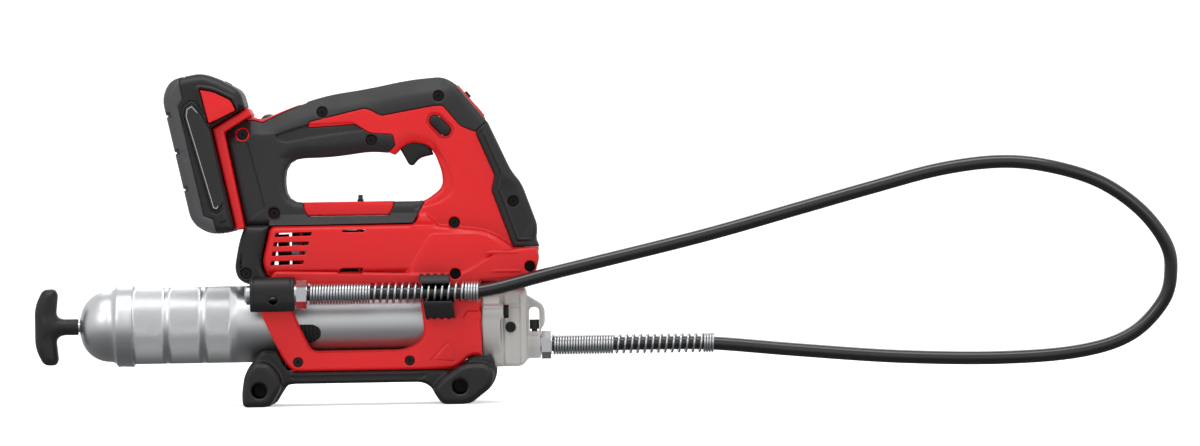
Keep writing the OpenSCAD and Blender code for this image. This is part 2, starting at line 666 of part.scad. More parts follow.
// Flank angle from the tooth's centre line at radius r, in degrees
function flank(teeth, r, play) =
    let (rp = gear_m * teeth / 2, rb = rp * cos(pressure))
    90 / teeth - play / (2 * rp) * 180 / PI + involute(pressure)
        - involute(acos(min(1, rb / max(r, rb))));
function gear_outline(teeth, root, tip, play) =
    let (steps = [for (s = [0:0.25:1]) root + (tip - root) * s])
    [for (i = [0:teeth - 1]) each concat(
        [for (r = steps) let (a = i * 360 / teeth - flank(teeth, r, play)) r * [cos(a), sin(a)]],
        [for (k = [len(steps) - 1:-1:0]) let (r = steps[k],
            a = i * 360 / teeth + flank(teeth, r, play)) r * [cos(a), sin(a)]])];
// Gear about an axis along X; the tooth turn is measured from +Z
module gear_x(outline, x0, x1) {
    translate([x0, 0, 0]) rotate([0, 90, 0]) linear_extrude(x1 - x0) polygon(outline);
}
module motor_can() {
    color([0.55, 0.56, 0.58]) translate([0, 0, drive_z]) difference() {
        along_x(15.5, 3, 61);
        along_x(14.2, 8.6, 56);
        along_x(7.02, 0, 8);
        along_x(7.02, 56.4, 70);
        along_x(4.5, 0, 70);
        for (a = [0:60:300]) rotate([a, 0, 0]) block(0, 9, -1.6, 1.6, 9, 12.5);
    }
    color([0.25, 0.25, 0.27]) translate([0, 0, drive_z])
        for (a = [0:90:270]) rotate([a + 45, 0, 0]) intersection() {
            difference() {
                along_x(14.2, 14, 48);
                along_x(12.6, 13, 49);
            }
            block(10, 60, -8, 8, 5, 20);
        }
}
module motor_rotor() {
    color([0.6, 0.45, 0.3]) translate([0, 0, drive_z]) union() {
        along_x(shaft_r - 0.01, -8, 64);
        difference() {
            along_x(12, 15, 46);
            for (a = [0:36:324]) rotate([a, 0, 0]) block(14, 47, -0.8, 0.8, 7.5, 13);
        }
        along_x(6.2, 47.5, 55);
        along_x(shaft_r - 0.01, 63, 66);
        gear_x(gear_outline(sun_teeth, gear_m * 5.0, gear_m * 6.8, 0.07), 65, planet_x1 + 0.6);
    }
}
module bearing(x0, x1, r_in, r_out) {
    difference() {
        along_x(r_out, x0, x1);
        along_x(r_in, x0 - 1, x1 + 1);
        for (x = [x0 - 0.01, x1 - 0.5]) difference() {
            along_x(r_out - 1.4, x, x + 0.51);
            along_x(r_in + 1.4, x - 1, x + 2);
        }
    }
}
module bearings() {
    color(steel) translate([0, 0, drive_z]) {
        bearing(3.2, 7.6, shaft_r + 0.01, 7);
        bearing(56.6, 60.8, shaft_r + 0.01, 7);
        bearing(147.1, 151.8, 5.02, 9);
    }
}
module fan() {
    color(black) translate([0, 0, drive_z]) difference() {
        union() {
            along_x(4.6, -7.8, 0.4);
            along_x(13.4, -1.2, 0.4);
            for (a = [0:40:320]) rotate([a, 0, 0]) intersection() {
                block(-7.6, -1, -0.5, 0.5, 4, 13.2);
                along_x(13.3, -8, 0);
            }
        }
        along_x(shaft_r, -9, 1);
    }
}
module ring_gear() {
    color([0.5, 0.51, 0.53]) translate([0, 0, drive_z]) difference() {
        along_x(15.8, 62, 76);
        gear_x(gear_outline(ring_teeth, gear_m * 20.2, gear_m * 22.05, -0.07), 64.5, 77);
        along_x(12.6, 61, 64.6);
    }
}
module planet(i) {
    a = 120 * (i - 1);
    color([0.62, 0.63, 0.65]) translate([0, 0, drive_z]) rotate([-a, 0, 0])
        translate([0, 0, centre]) difference() {
            rotate([180, 0, 0])
                gear_x(gear_outline(planet_teeth, gear_m * 6.45, gear_m * 8.3, 0.07),
                    planet_x0, planet_x1);
            along_x(1.55, 60, 80);
        }
}
module planet_1() { planet(1); }
module planet_2() { planet(2); }
module planet_3() { planet(3); }
module crank_carrier() {
    color([0.66, 0.67, 0.69]) translate([0, 0, drive_z]) union() {
        along_x(11.4, 76.4, 80.4);
        for (i = [0:2]) rotate([-120 * i, 0, 0]) translate([0, 0, centre]) along_x(1.5, 66.4, 78);
        along_x(5, 80, 153);
        along_x(5.4, 152.6, 155.8);
        along_x(5.5, 154, 157.4);
        along_x(2.4, 157, 168, crank_throw, 0);
    }
}

// ---- battery, drawn along its own rail and then leant back ----
module battery_place() {
    translate([-35, 0, 131]) rotate([0, -battery_lean, 0]) children();
}
PACK = [[-20, 1, 9], [-3.2, 1, 2], [-3.2, 78.9, 1], [25.2, 88.2, 2], [24.6, 101.5, 5],
    [9.5, 114.6, 8], [-1, 120.4, 8], [-24, 120.8, 12], [-33.2, 109, 9], [-33.2, 13, 12]];
COVER_ZONE = [[-60, -20], [-16.6, -20], [-16.6, 12.6], [-22.8, 16.5], [-22.8, 99.5],
    [-18.5, 104], [-16.8, 140], [-60, 140]];
FOOT = [[-2.6, 1, 2], [4.2, 0.6, 1.5], [5.6, 74, 1], [23.5, 80.2, 1], [28.6, 81.6, 1],
    [26.8, 87.8, 1.5], [-2.6, 78.2, 1]];
LATCH = [[-3.4, 83.6, 2], [16.6, 90, 3], [16.2, 95, 4], [10.5, 102, 8], [-0.4, 107.6, 5],
    [-4, 108, 2]];
LABEL = [[-11.6, 17.4, 2], [-6.8, 22, 2], [-7.2, 92, 3], [-9.4, 99.8, 3], [-13.6, 101.2, 3],
    [-18.4, 91, 4], [-15.8, 21.4, 3]];
module battery_foot() {
    color(red) battery_place() difference() {
        both(FOOT, 27, 2);
        block(-3, 0.6, -16.6, 16.6, 3, 100);
        block(0.4, 4.2, -20.6, 20.6, 3, 100);
    }
}
module terminal_block() {
    color([0.2, 0.2, 0.22]) battery_place() union() {
        block(0.9, 3.9, -15, 15, 3.1, 9);
        for (y = [-11.5, 10.5]) block(1.6, 3, y, y + 1, 8, 20);
    }
}
module battery_case() {
    color(black) battery_place() difference() {
        union() {
            difference() {
                both(PACK, battery_half - 1.4, 5);
                prism(COVER_ZONE, -60, 60);
                // inner space for the cells and the board
                slab(PACK, -battery_half + 4, battery_half - 4, 2.4);
            }
            // rail tongue that slides in the foot
            block(-4.6, 0.9, -16.2, 16.2, 12, 80.5);
            block(0.9, 3.9, -20.2, 20.2, 12, 80.5);
        }
        for (y = [-11.5, 10.5]) block(0.9, 6, y - 0.5, y + 1.5, 10, 22);
        for (s = [0, 1]) mirror([0, s, 0]) {
            slab(LATCH, -60, -28, -0.35);
            slab(LABEL, -60, -battery_half + 2.2, -0.1);
        }
        gauge_place() translate([0, 0, -5]) cylinder(r = 3.1, h = 10);
    }
}
module battery_cover() {
    color([0.2, 0.2, 0.21]) battery_place() difference() {
        both(PACK, battery_half, 5);
        prism([for (q = COVER_ZONE) [q[0] < -50 ? 60 : q[0] - 0.1, q[1]]], -60, 60);
        slab(PACK, -battery_half + 3, battery_half - 3, 2.4);
        for (z = [38, 66, 94]) block(-36, -32.2, -battery_half + 6, -10, z, z + 1.4);
    }
}
module battery_label() {
    color([0.16, 0.16, 0.17]) battery_place() for (s = [0, 1]) mirror([0, s, 0])
        stack(LABEL, [[-battery_half + 0.6, 0.8], [-battery_half + 1.2, 0], [-battery_half + 2.2, 0]]);
}
module latch() {
    battery_place() union() {
        stack(LATCH, [[-battery_half + 0.2, 2], [-battery_half + 1.2, 0.8],
            [-battery_half + 2.4, 0], [-battery_half + 5.4, 0]]);
        block(1, 9, -battery_half + 5, -battery_half + 12, 90, 100);
    }
}
module latch_right() { color(red) latch(); }
module latch_left() { color(red) mirror([0, 1, 0]) latch(); }
cell_pitch = cell_d + 0.7;
module battery_cells() {
    color([0.25, 0.4, 0.6]) battery_place() for (i = [0:4])
        translate([-18.2, 34.2, 17.3 + cell_pitch * i]) rotate([90, 0, 0]) union() {
            translate([0, 0, 0.6]) cylinder(r = cell_d / 2, h = 67.2);
            cylinder(r = 5, h = 0.6);
        }
}
module battery_board() {
    color([0.1, 0.35, 0.2]) battery_place() union() {
        block(-6.9, -5.7, -30, 30, 16, 84);
        block(-6, 20, -20, 20, 92, 93.4);
        block(-6.9, -5.7, -20, 20, 80, 93.4);
    }
}
module gauge_place() {
    translate([15.4, 0, 108.4]) rotate([0, 41, 0]) children();
}
module gauge_button() {
    color([0.5, 0.5, 0.52]) battery_place() gauge_place() translate([0, 0, -3])
        cylinder(r = 2.9, h = 4.4);
}

// ---- whip hose and its fittings ----
outlet_spring_x = [195, 317];
coupler_spring_x = [15.4, 144];
// Middle line of the hose, from the coupler round to the outlet
route = [[15.2, coupler_y, coupler_z], [60, coupler_y, coupler_z], [110, coupler_y, coupler_z],
    [145, coupler_y, coupler_z + 0.5], [202, -42, 97], [306, -41, 121], [381, -40, 141],
    [433, -38, 155], [485, -36, 168], [530, -33, 173], [567, -30, 169], [604, -26, 157],
    [634, -22, 136], [653, -18, 111], [657, -15, 90], [651, -12, 67], [627, -9, 43],
    [589, -7, 31], [530, -5, 27], [455, -3, 29], [381, -1.5, 35], [318, 0, 41],
    [280, 0, outlet_z], [240, 0, outlet_z], [195.2, 0, outlet_z]];
// Smooth curve through the route's points
function between(a, b, c, d, t) =
    0.5 * (2 * b + (c - a) * t + (2 * a - 5 * b + 4 * c - d) * t * t
        + (3 * b - a - 3 * c + d) * t * t * t);
function route_at(i) = route[min(max(i, 0), len(route) - 1)];
hose_line = [for (i = [0:len(route) - 2]) each [for (t = [0, 0.34, 0.67])
    between(route_at(i - 1), route_at(i), route_at(i + 1), route_at(i + 2), t)],
    route[len(route) - 1]];
module tube_along(line, r, sides) {
    n = len(line);
    dirs = [for (i = [0:n - 1]) unit(line[min(i + 1, n - 1)] - line[max(i - 1, 0)])];
    points = [for (i = [0:n - 1])
        let (t = dirs[i], u = unit(cross(t, [0, 1, 0])), v = cross(t, u))
        for (k = [0:sides - 1]) line[i] + r * (cos(360 * k / sides) * u + sin(360 * k / sides) * v)];
    polyhedron(points, concat([[for (k = [sides - 1:-1:0]) k]],
        [for (i = [0:n - 2]) for (k = [0:sides - 1]) [i * sides + k, i * sides + (k + 1) % sides,
            (i + 1) * sides + (k + 1) % sides, (i + 1) * sides + k]],
        [[for (k = [0:sides - 1]) (n - 1) * sides + k]]));
}
module hose() { color([0.08, 0.08, 0.08]) tube_along(hose_line, hose_d / 2, 10); }
module outlet_nut() {
    color(steel) difference() {
        union() {
            hexagon_x(18, 187.7, 194.6, 0, outlet_z);
            along_x(7.2, 187.3, 195, 0, outlet_z);
            along_x(5, 181, 188, 0, outlet_z);
        }
        along_x(2, 180, 196, 0, outlet_z);
    }
}
module outlet_spring() {
    color(steel) union() {
        coil(7.6, 5.8, outlet_spring_x[0] + 0.1, 241, 22, 0, outlet_z);
        coil(7.4, 5.8, 241, 308, 13, 0, outlet_z);
        coil(7.4, 5.8, 308, outlet_spring_x[1], 5, 0, outlet_z);
    }
}
module coupler() {
    color(steel) difference() {
        turned([[-31, 0], [-31, 5.6], [-29.6, 7.1], [-12, 7.1], [-11, 6.6], [-2, 6.6], [-1, 7.8],
            [7.2, 7.8], [7.2, 0]], coupler_z, coupler_y);
        along_x(2.4, -32, 8, coupler_y, coupler_z);
        along_x(4.6, -32, -24, coupler_y, coupler_z);
    }
}
module coupler_nut() {
    color(steel) difference() {
        union() {
            hexagon_x(18, 7.3, 14.6, coupler_y, coupler_z);
            along_x(7.4, 7.3, 15.1, coupler_y, coupler_z);
        }
        along_x(2.4, 7, 16, coupler_y, coupler_z);
    }
}
module coupler_spring() {
    color(steel) union() {
        coil(8, 6, coupler_spring_x[0], 62, 20, coupler_y, coupler_z);
        coil(8, 6, 62, 131, 14, coupler_y, coupler_z);
        coil(8, 6, 131, coupler_spring_x[1], 6, coupler_y, coupler_z);
    }
}

right_housing();
left_housing();
right_grip();
left_grip();
front_guard();
rear_cover();
base();
battery_foot();
terminal_block();
rail_insert();
rail_slider();
trigger();
switch_module();
lock_button();
speed_panel();
speed_slider();
lamp_lens();
control_board();
screws();
coupler_holder();
hose_clip();
barrel_pad();
pump_head();
relief_valve();
filler_plug();
bleed_valve();
pump_plunger();
pump_sleeve();
check_ball();
check_spring();
barrel_tube();
barrel_cap();
barrel_gasket();
follower();
follower_spring();
plunger_rod();
t_handle();
motor_can();
motor_rotor();
bearings();
fan();
ring_gear();
planet_1();
planet_2();
planet_3();
crank_carrier();
battery_case();
battery_cover();
battery_label();
latch_right();
latch_left();
battery_cells();
battery_board();
gauge_button();
hose();
outlet_nut();
outlet_spring();
coupler_nut();
coupler_spring();
coupler();
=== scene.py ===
"""Looks of the cordless grease gun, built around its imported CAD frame.

Lengths are written in millimetres and turned into metres where a mesh is made. Moulded and cast
pieces are distance fields on a voxel grid, turned pieces are lathed, and springs are real helices.
"""

import json
import math

import bpy
import numpy as np
import openvdb as vdb
from mathutils import Matrix, Vector


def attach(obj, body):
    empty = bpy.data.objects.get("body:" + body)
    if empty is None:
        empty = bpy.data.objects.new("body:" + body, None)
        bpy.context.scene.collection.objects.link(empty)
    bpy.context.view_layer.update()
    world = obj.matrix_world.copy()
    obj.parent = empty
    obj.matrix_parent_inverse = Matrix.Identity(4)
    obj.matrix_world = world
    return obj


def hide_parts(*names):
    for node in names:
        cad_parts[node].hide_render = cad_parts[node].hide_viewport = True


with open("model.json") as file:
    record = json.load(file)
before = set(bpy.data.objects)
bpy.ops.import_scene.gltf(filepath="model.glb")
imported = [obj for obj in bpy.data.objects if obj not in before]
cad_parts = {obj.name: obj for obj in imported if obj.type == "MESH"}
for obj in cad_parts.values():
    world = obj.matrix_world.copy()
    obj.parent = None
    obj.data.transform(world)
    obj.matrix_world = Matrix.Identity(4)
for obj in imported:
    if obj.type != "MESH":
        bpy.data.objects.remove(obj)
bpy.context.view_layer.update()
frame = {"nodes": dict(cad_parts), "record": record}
NODES = frame["nodes"]
MM = 0.001
DIAGONAL = 0.7071  # cosine of a 45 degree edge
SHARP = math.radians(38)  # creases steeper than this stay sharp
SEAM = 0.12  # each half stops this far short of the parting plane

# ---------------------------------------------------------------- camera
CAMERA_PLACE, LENS, ROLL = (0.2327, -5.0, 0.1322), 200.9, math.radians(-0.95)
camera_data = bpy.data.cameras.new("camera")
camera_data.sensor_width = 36
camera_data.lens = LENS
camera_data.clip_end = 50
camera = bpy.data.objects.new("camera", camera_data)
bpy.context.scene.collection.objects.link(camera)
camera.matrix_world = (
    Matrix.Translation(CAMERA_PLACE)
    @ Matrix.Rotation(math.radians(90), 4, "X")
    @ Matrix.Rotation(ROLL, 4, "Z")
)
bpy.context.scene.camera = camera
bpy.context.scene.view_settings.view_transform = "Standard"


# ---------------------------------------------------------------- materials
def linear(rgb):
    """Screen colour as the linear values that shaders take."""
    return [c / 12.92 if c <= 0.04045 else ((c + 0.055) / 1.055) ** 2.4 for c in rgb]


def material(name, rgb, rough, metal=0.0, grain=(900, 0.1), mottle=(14, 0.06), swing=0.1, coat=0.0,
             stretch=(1, 1, 1), edge=0.25, cells=False, gloss=0.3, glow=0.0):
    """Principled surface with mottled colour, uneven roughness, surface grain and worn edges."""
    m = bpy.data.materials.new(name)
    m.use_nodes = True
    tree = m.node_tree
    new, link = tree.nodes.new, tree.links.new
    bsdf = tree.nodes["Principled BSDF"]
    bsdf.inputs["Metallic"].default_value = metal
    bsdf.inputs["Coat Weight"].default_value = coat
    bsdf.inputs["Coat Roughness"].default_value = 0.12
    bsdf.inputs["Specular IOR Level"].default_value = gloss
    bsdf.inputs["Emission Color"].default_value = (1, 1, 1, 1)
    bsdf.inputs["Emission Strength"].default_value = glow
    place = new("ShaderNodeTexCoord")
    squeeze = new("ShaderNodeMapping")
    squeeze.inputs["Scale"].default_value = stretch
    link(place.outputs["Object"], squeeze.inputs["Vector"])

    def noise(scale, detail=3.0):
        n = new("ShaderNodeTexNoise")
        n.inputs["Scale"].default_value = scale
        n.inputs["Detail"].default_value = detail
        link(squeeze.outputs["Vector"], n.inputs["Vector"])
        return n.outputs["Fac"]

    def remap(source, low, high, start=0.3, end=0.7):
        r = new("ShaderNodeMapRange")
        for key, value in (("From Min", start), ("From Max", end), ("To Min", low), ("To Max", high)):
            r.inputs[key].default_value = value
        link(source, r.inputs["Value"])
        return r.outputs["Result"]

    base = linear(rgb)
    shade = new("ShaderNodeValToRGB")
    dark, light = 1 - mottle[1], 1 + mottle[1]
    shade.color_ramp.elements[0].position = 0.3
    shade.color_ramp.elements[1].position = 0.7
    shade.color_ramp.elements[0].color = [c * dark for c in base] + [1]
    shade.color_ramp.elements[1].color = [min(1, c * light) for c in base] + [1]
    link(noise(mottle[0]), shade.inputs["Fac"])
    colour = shade.outputs["Color"]
    if edge:
        worn = new("ShaderNodeNewGeometry")
        mix = new("ShaderNodeMix")
        mix.data_type = "RGBA"
        mix.blend_type = "MIX"
        link(remap(worn.outputs["Pointiness"], 0, edge, 0.52, 0.62), mix.inputs[0])
        link(colour, mix.inputs[6])
        rub = new("ShaderNodeValToRGB")
        rub.color_ramp.elements[0].color = [min(1, c * 1.15 + 0.01) for c in base] + [1]
        rub.color_ramp.elements[1].color = [min(1, c * 1.5 + 0.05) for c in base] + [1]
        link(noise(160), rub.inputs["Fac"])
        link(rub.outputs["Color"], mix.inputs[7])
        colour = mix.outputs[2]
    link(colour, bsdf.inputs["Base Color"])
    link(remap(noise(45, 5), rough - swing / 2, rough + swing / 2), bsdf.inputs["Roughness"])
    bump = new("ShaderNodeBump")
    bump.inputs["Strength"].default_value = grain[1]
    bump.inputs["Distance"].default_value = 0.0002
    if cells:
        v = new("ShaderNodeTexVoronoi")
        v.inputs["Scale"].default_value = grain[0]
        link(squeeze.outputs["Vector"], v.inputs["Vector"])
        link(v.outputs["Distance"], bump.inputs["Height"])
    else:
        link(noise(grain[0], 2), bump.inputs["Height"])
    link(bump.outputs["Normal"], bsdf.inputs["Normal"])
    return m


LOOKS = {
    "red": material("red_plastic", (0.765, 0.07, 0.085), 0.36, grain=(1500, 0.10), mottle=(9, 0.04),
                    coat=0.1),
    "soft_black": material("soft_grip", (0.125, 0.125, 0.13), 0.5, grain=(1700, 0.3), cells=True,
                           gloss=0.45),
    "black": material("black_plastic", (0.09, 0.09, 0.095), 0.42, grain=(1400, 0.2), cells=True, gloss=0.4),
    "cast_grey": material("cast_grey", (0.70, 0.69, 0.675), 0.44, metal=0.35, grain=(700, 0.22)),
    "alu": material("brushed_aluminium", (0.86, 0.865, 0.87), 0.38, metal=1, grain=(260, 0.12),
                    mottle=(12, 0.05), stretch=(0.04, 1, 1), swing=0.12),
    "steel": material("bright_steel", (0.84, 0.85, 0.86), 0.27, metal=1, grain=(500, 0.05), edge=0),
    "dark_steel": material("black_steel", (0.10, 0.10, 0.105), 0.35, metal=0.6, grain=(900, 0.1)),
    "gear_steel": material("gear_steel", (0.66, 0.67, 0.69), 0.32, metal=1, grain=(600, 0.1)),
    "copper": material("copper", (0.78, 0.45, 0.28), 0.35, metal=0.9, grain=(500, 0.3)),
    "board": material("circuit_board", (0.06, 0.26, 0.14), 0.4, grain=(300, 0.3), coat=0.3),
    "lens": material("clear_lens", (0.86, 0.88, 0.9), 0.1, grain=(300, 0.03), coat=0.8, edge=0),
    "cell_wrap": material("cell_wrap", (0.2, 0.42, 0.62), 0.3, grain=(400, 0.05), coat=0.3),
    "hose_rubber": material("hose_rubber", (0.05, 0.05, 0.053), 0.24, grain=(1600, 0.1),
                            mottle=(30, 0.12), coat=0.6, edge=0, gloss=0.5),
    "label": material("label_film", (0.12, 0.115, 0.12), 0.3, grain=(900, 0.06), coat=0.25),
}
EXTRA = {
    "line": material("label_line", (0.60, 0.60, 0.60), 0.4, grain=(900, 0.05), edge=0),
    "rubber": material("pad_rubber", (0.09, 0.09, 0.092), 0.6, grain=(1100, 0.4), cells=True),
    "grey": material("grey_plastic", (0.25, 0.25, 0.255), 0.42, grain=(1300, 0.25), cells=True),
}
SLOTS = {s["node"]: s["material_slot"] for s in frame["record"]["subparts"]}


# ---------------------------------------------------------------- building helpers
def finish_piece(ob, slot, body, look=None, replaces=()):
    """Give a piece its material, its body and the CAD nodes that it stands for."""
    ob.data.materials.clear()
    ob.data.materials.append(look or LOOKS[slot])
    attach(ob, body)
    if replaces:
        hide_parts(*replaces)
    return ob


def mesh_object(name, points, faces):
    me = bpy.data.meshes.new(name)
    me.from_pydata(np.asarray(points, float) * MM, [], faces)
    me.validate()
    me.update()
    me.shade_smooth()
    ob = bpy.data.objects.new(name, me)
    bpy.context.scene.collection.objects.link(ob)
    return ob


def weighted(ob):
    m = ob.modifiers.new("weighted normals", "WEIGHTED_NORMAL")
    m.weight = 90
    m.keep_sharp = True
    return ob


def inset_point(p, i, d):
    """Corner i of the outline, moved inwards by d from both of its edges."""
    a, b, c = p[i - 1], p[i], p[(i + 1) % len(p)]
    u = np.array([b[0] - a[0], b[1] - a[1]], float)
    v = np.array([c[0] - b[0], c[1] - b[1]], float)
    u /= np.linalg.norm(u)
    v /= np.linalg.norm(v)
    m = np.array([-u[1] - v[1], u[0] + v[0]]) / max(0.4, 1 + u @ v)
    return (b[0] + d * m[0], b[1] + d * m[1], b[2])


def rounded(p, steps=5, d=0.0):
    """Outline of [x, z, corner length] points as a smooth polygon, moved inwards by d."""
    p = [(q[0], q[1], q[2] if len(q) > 2 else 0) for q in p]
    if d:
        p = [inset_point(p, i, d) for i in range(len(p))]
    out = []
    for i, b in enumerate(p):
        q = np.array(b[:2], float)
        if b[2] <= 0:
            out.append(q)
            continue
        e = [np.array(p[i - 1][:2], float) - q, np.array(p[(i + 1) % len(p)][:2], float) - q]
        t = min([b[2]] + [0.48 * np.linalg.norm(v) for v in e])
        a, c = (q + t * v / np.linalg.norm(v) for v in e)
        for s in np.linspace(0, 1, steps):
            out.append((1 - s) ** 2 * a + 2 * s * (1 - s) * q + s * s * c)
    return np.array(out)


class Space:
    """Voxel grid in millimetres whose fields are negative inside the solid."""

    def __init__(self, x, y, z, h=0.5):
        self.h = h
        self.lo = np.array([x[0], y[0], z[0]], float)
        self.X = np.arange(x[0], x[1] + h, h, dtype=np.float32)[:, None, None]
        self.Y = np.arange(y[0], y[1] + h, h, dtype=np.float32)[None, :, None]
        self.Z = np.arange(z[0], z[1] + h, h, dtype=np.float32)[None, None, :]

    def flat(self, p, steps=5, d=0.0, reach=14.0):
        """Distance to an outline in the X-Z plane."""
        return outline_field(rounded(p, steps, d), self.X[:, 0, 0], self.Z[0, 0, :], reach)[:, None, :]

    def across(self, p, steps=5, d=0.0, reach=14.0):
        """Distance to an outline in the Y-Z plane."""
        return outline_field(rounded(p, steps, d), self.Y[0, :, 0], self.Z[0, 0, :], reach)[None, :, :]

    def rod_y(self, x, z, r):
        return np.hypot(self.X - x, self.Z - z) - r

    def rod_x(self, y, z, r):
        return np.hypot(self.Y - y, self.Z - z) - r

    def rod_z(self, x, y, r):
        return np.hypot(self.X - x, self.Y - y) - r

    def box(self, x0, x1, y0, y1, z0, z1, r=0.0):
        q = [np.maximum(a - v, v - b) + r for v, a, b in
             ((self.X, x0, x1), (self.Y, y0, y1), (self.Z, z0, z1))]
        inner = np.maximum(np.maximum(q[0], q[1]), q[2])
        if not r:
            return inner
        far = np.sqrt(sum(np.maximum(v, 0) ** 2 for v in q))
        return np.minimum(inner, 0) + far - r

    def slab(self, d, y0, y1, r=0.0):
        """The flat field d between y0 and y1, with rounded edges of radius r."""
        e = np.maximum(y0 - self.Y, self.Y - y1)
        return round_join(d, e, r)

    def both(self, d, w, c, r=1.2):
        """The flat field d as thick as 2 w, with beveled and softened edges of leg c."""
        e = np.abs(self.Y) - w
        return round_join(round_join(d, e, r), (d + e + c) * DIAGONAL, r)

    def bevel(self, d, y0, y1, c):
        """The flat field d between y0 and y1, with 45 degree edges of leg c."""
        e = np.maximum(y0 - self.Y, self.Y - y1)
        return np.maximum(np.maximum(d, e), (d + e + c) * DIAGONAL)

    def mesh(self, name, field, coarse=0.008, flip_y=False, place=None):
        g = vdb.FloatGrid(3 * self.h)
        g.copyFromArray(np.clip(np.ascontiguousarray(
            np.broadcast_to(field, (self.X.size, self.Y.size, self.Z.size)), dtype=np.float32),
            -3 * self.h, 3 * self.h))
        g.transform = vdb.createLinearTransform(self.h)
        points, tris, quads = g.convertToPolygons(isovalue=0.0, adaptivity=coarse)
        points = points.astype(float) + self.lo
        if flip_y:
            points[:, 1] *= -1
        if place:
            points = place(points)
        faces = [tuple(f) for f in tris.tolist()] + [tuple(f) for f in quads.tolist()]
        a = np.array([f[:3] for f in faces])
        p = points - points.mean(0)
        turned = np.einsum("ij,ij->i", p[a[:, 0]], np.cross(p[a[:, 1]], p[a[:, 2]])).sum() < 0
        if turned:
            faces = [f[::-1] for f in faces]
        return weighted(mesh_object(name, points, faces))


def outline_field(p, u, v, reach):
    """Signed distance to a polygon on the grid u by v, and just reach when farther away."""
    out = np.full((u.size, v.size), reach, np.float32)
    i0, i1 = np.searchsorted(u, [p[:, 0].min() - reach, p[:, 0].max() + reach])
    j0, j1 = np.searchsorted(v, [p[:, 1].min() - reach, p[:, 1].max() + reach])
    if i1 <= i0 or j1 <= j0:
        return out
    U, V = np.meshgrid(u[i0:i1], v[j0:j1], indexing="ij")
    near = np.full(U.shape, 1e9, np.float32)
    sign = np.ones(U.shape, np.float32)
    for a, b in zip(p, np.roll(p, -1, 0), strict=True):
        e = b - a
        if not e.any():
            continue
        wu, wv = U - a[0], V - a[1]
        t = np.clip((wu * e[0] + wv * e[1]) / (e @ e), 0, 1)
        near = np.minimum(near, (wu - e[0] * t) ** 2 + (wv - e[1] * t) ** 2)
        if a[1] != b[1]:
            cross = ((a[1] <= V) != (b[1] <= V)) & (wu < wv * e[0] / e[1])
            sign[cross] *= -1
    out[i0:i1, j0:j1] = sign * np.sqrt(near)
    return out


def round_join(a, b, r):
    """Both at once, with the corner between the two rounded to radius r."""
    if not r:
        return np.maximum(a, b)
    p, q = a + r, b + r
    return np.minimum(np.maximum(p, q), 0) + np.hypot(np.maximum(p, 0), np.maximum(q, 0)) - r


def between(v, low, high):
    """Field of the slab of v from low to high."""
    return np.maximum(low - v, v - high)


def soft_union(a, b, k):
    """Both together, with the inner corner filled over k."""
    h = np.clip(k - np.abs(a - b), 0, None) / k
    return np.minimum(a, b) - h * h * k / 4


def soft_cut(a, b, k):
    """a without b, with the new edge softened over k."""
    h = np.clip(k - np.abs(a + b), 0, None) / k
    return np.maximum(a, -b) + h * h * k / 4


def cut(a, *others):
    """a without the others, with sharp edges."""
    for b in others:
        a = np.maximum(a, -b)
    return a


def lathe(name, profile, z, steps=128, y=0.0, wobble=None, ring=False):
    """Turned solid about the X axis from [x, radius] points; a ring's profile closes on itself."""
    pts, faces = [], []
    k = len(profile)
    ang = np.arange(steps) * 2 * math.pi / steps
    for j, (x, r) in enumerate(profile):
        rr = np.full(steps, float(r))
        if wobble:
            rr = rr - wobble(x, np.arange(steps))
        pts += [(x, y + a * math.sin(t), z + a * math.cos(t)) for a, t in zip(rr, ang, strict=True)]
    for j in range(k if ring else k - 1):
        m = (j + 1) % k
        for i in range(steps):
            n = (i + 1) % steps
            faces.append((j * steps + i, j * steps + n, m * steps + n, m * steps + i))
    if not ring:
        faces.append(tuple(range(steps))[::-1])
        faces.append(tuple((k - 1) * steps + i for i in range(steps)))
    ob = mesh_object(name, pts, faces)
    ob.data.set_sharp_from_angle(angle=SHARP)
    return ob


def tube_curve(name, points, radius, ring=4):
    """Round bar along a line of points in millimetres."""
    data = bpy.data.curves.new(name, "CURVE")
    data.dimensions = "3D"
    data.bevel_depth = radius * MM
    data.bevel_resolution = ring
    data.use_fill_caps = True
    s = data.splines.new("POLY")
    s.points.add(len(points) - 1)
    for q, p in zip(s.points, points, strict=True):
        q.co = (p[0] * MM, p[1] * MM, p[2] * MM, 1)
    s.use_smooth = True
    ob = bpy.data.objects.new(name, data)
    bpy.context.scene.collection.objects.link(ob)
    return ob


def helix(name, spans, radius, wire, y, z, per_turn=20):
    """Coil spring along X; spans are (x0, x1, turns)."""
    points, turn = [], 0.0
    for x0, x1, turns in spans:
        n = int(turns * per_turn)
        for i in range(n):
            t = turn + i / per_turn
            x = x0 + (x1 - x0) * i / n
            a = 2 * math.pi * t
            points.append((x, y + radius * math.sin(a), z + radius * math.cos(a)))
        turn += n / per_turn
    return tube_curve(name, points, wire / 2, 3)


# ---------------------------------------------------------------- whip hose
HOSE_D, OUT_Z, COUP_Y, COUP_Z = 10.0, 42.0, -43.4, 83.0
ROUTE = [
    (15.2, COUP_Y, COUP_Z), (60, COUP_Y, COUP_Z), (110, COUP_Y, COUP_Z), (145, COUP_Y, COUP_Z + 0.5),
    (202, -42, 97), (306, -41, 121), (381, -40, 141), (433, -38, 155), (485, -36, 168), (530, -33, 173),
    (567, -30, 169), (604, -26, 157), (634, -22, 136), (653, -18, 111), (657, -15, 90), (651, -12, 67),
    (627, -9, 43), (589, -7, 31), (530, -5, 27), (455, -3, 29), (381, -1.5, 35), (318, 0, 41),
    (280, 0, OUT_Z), (240, 0, OUT_Z), (195.2, 0, OUT_Z)]


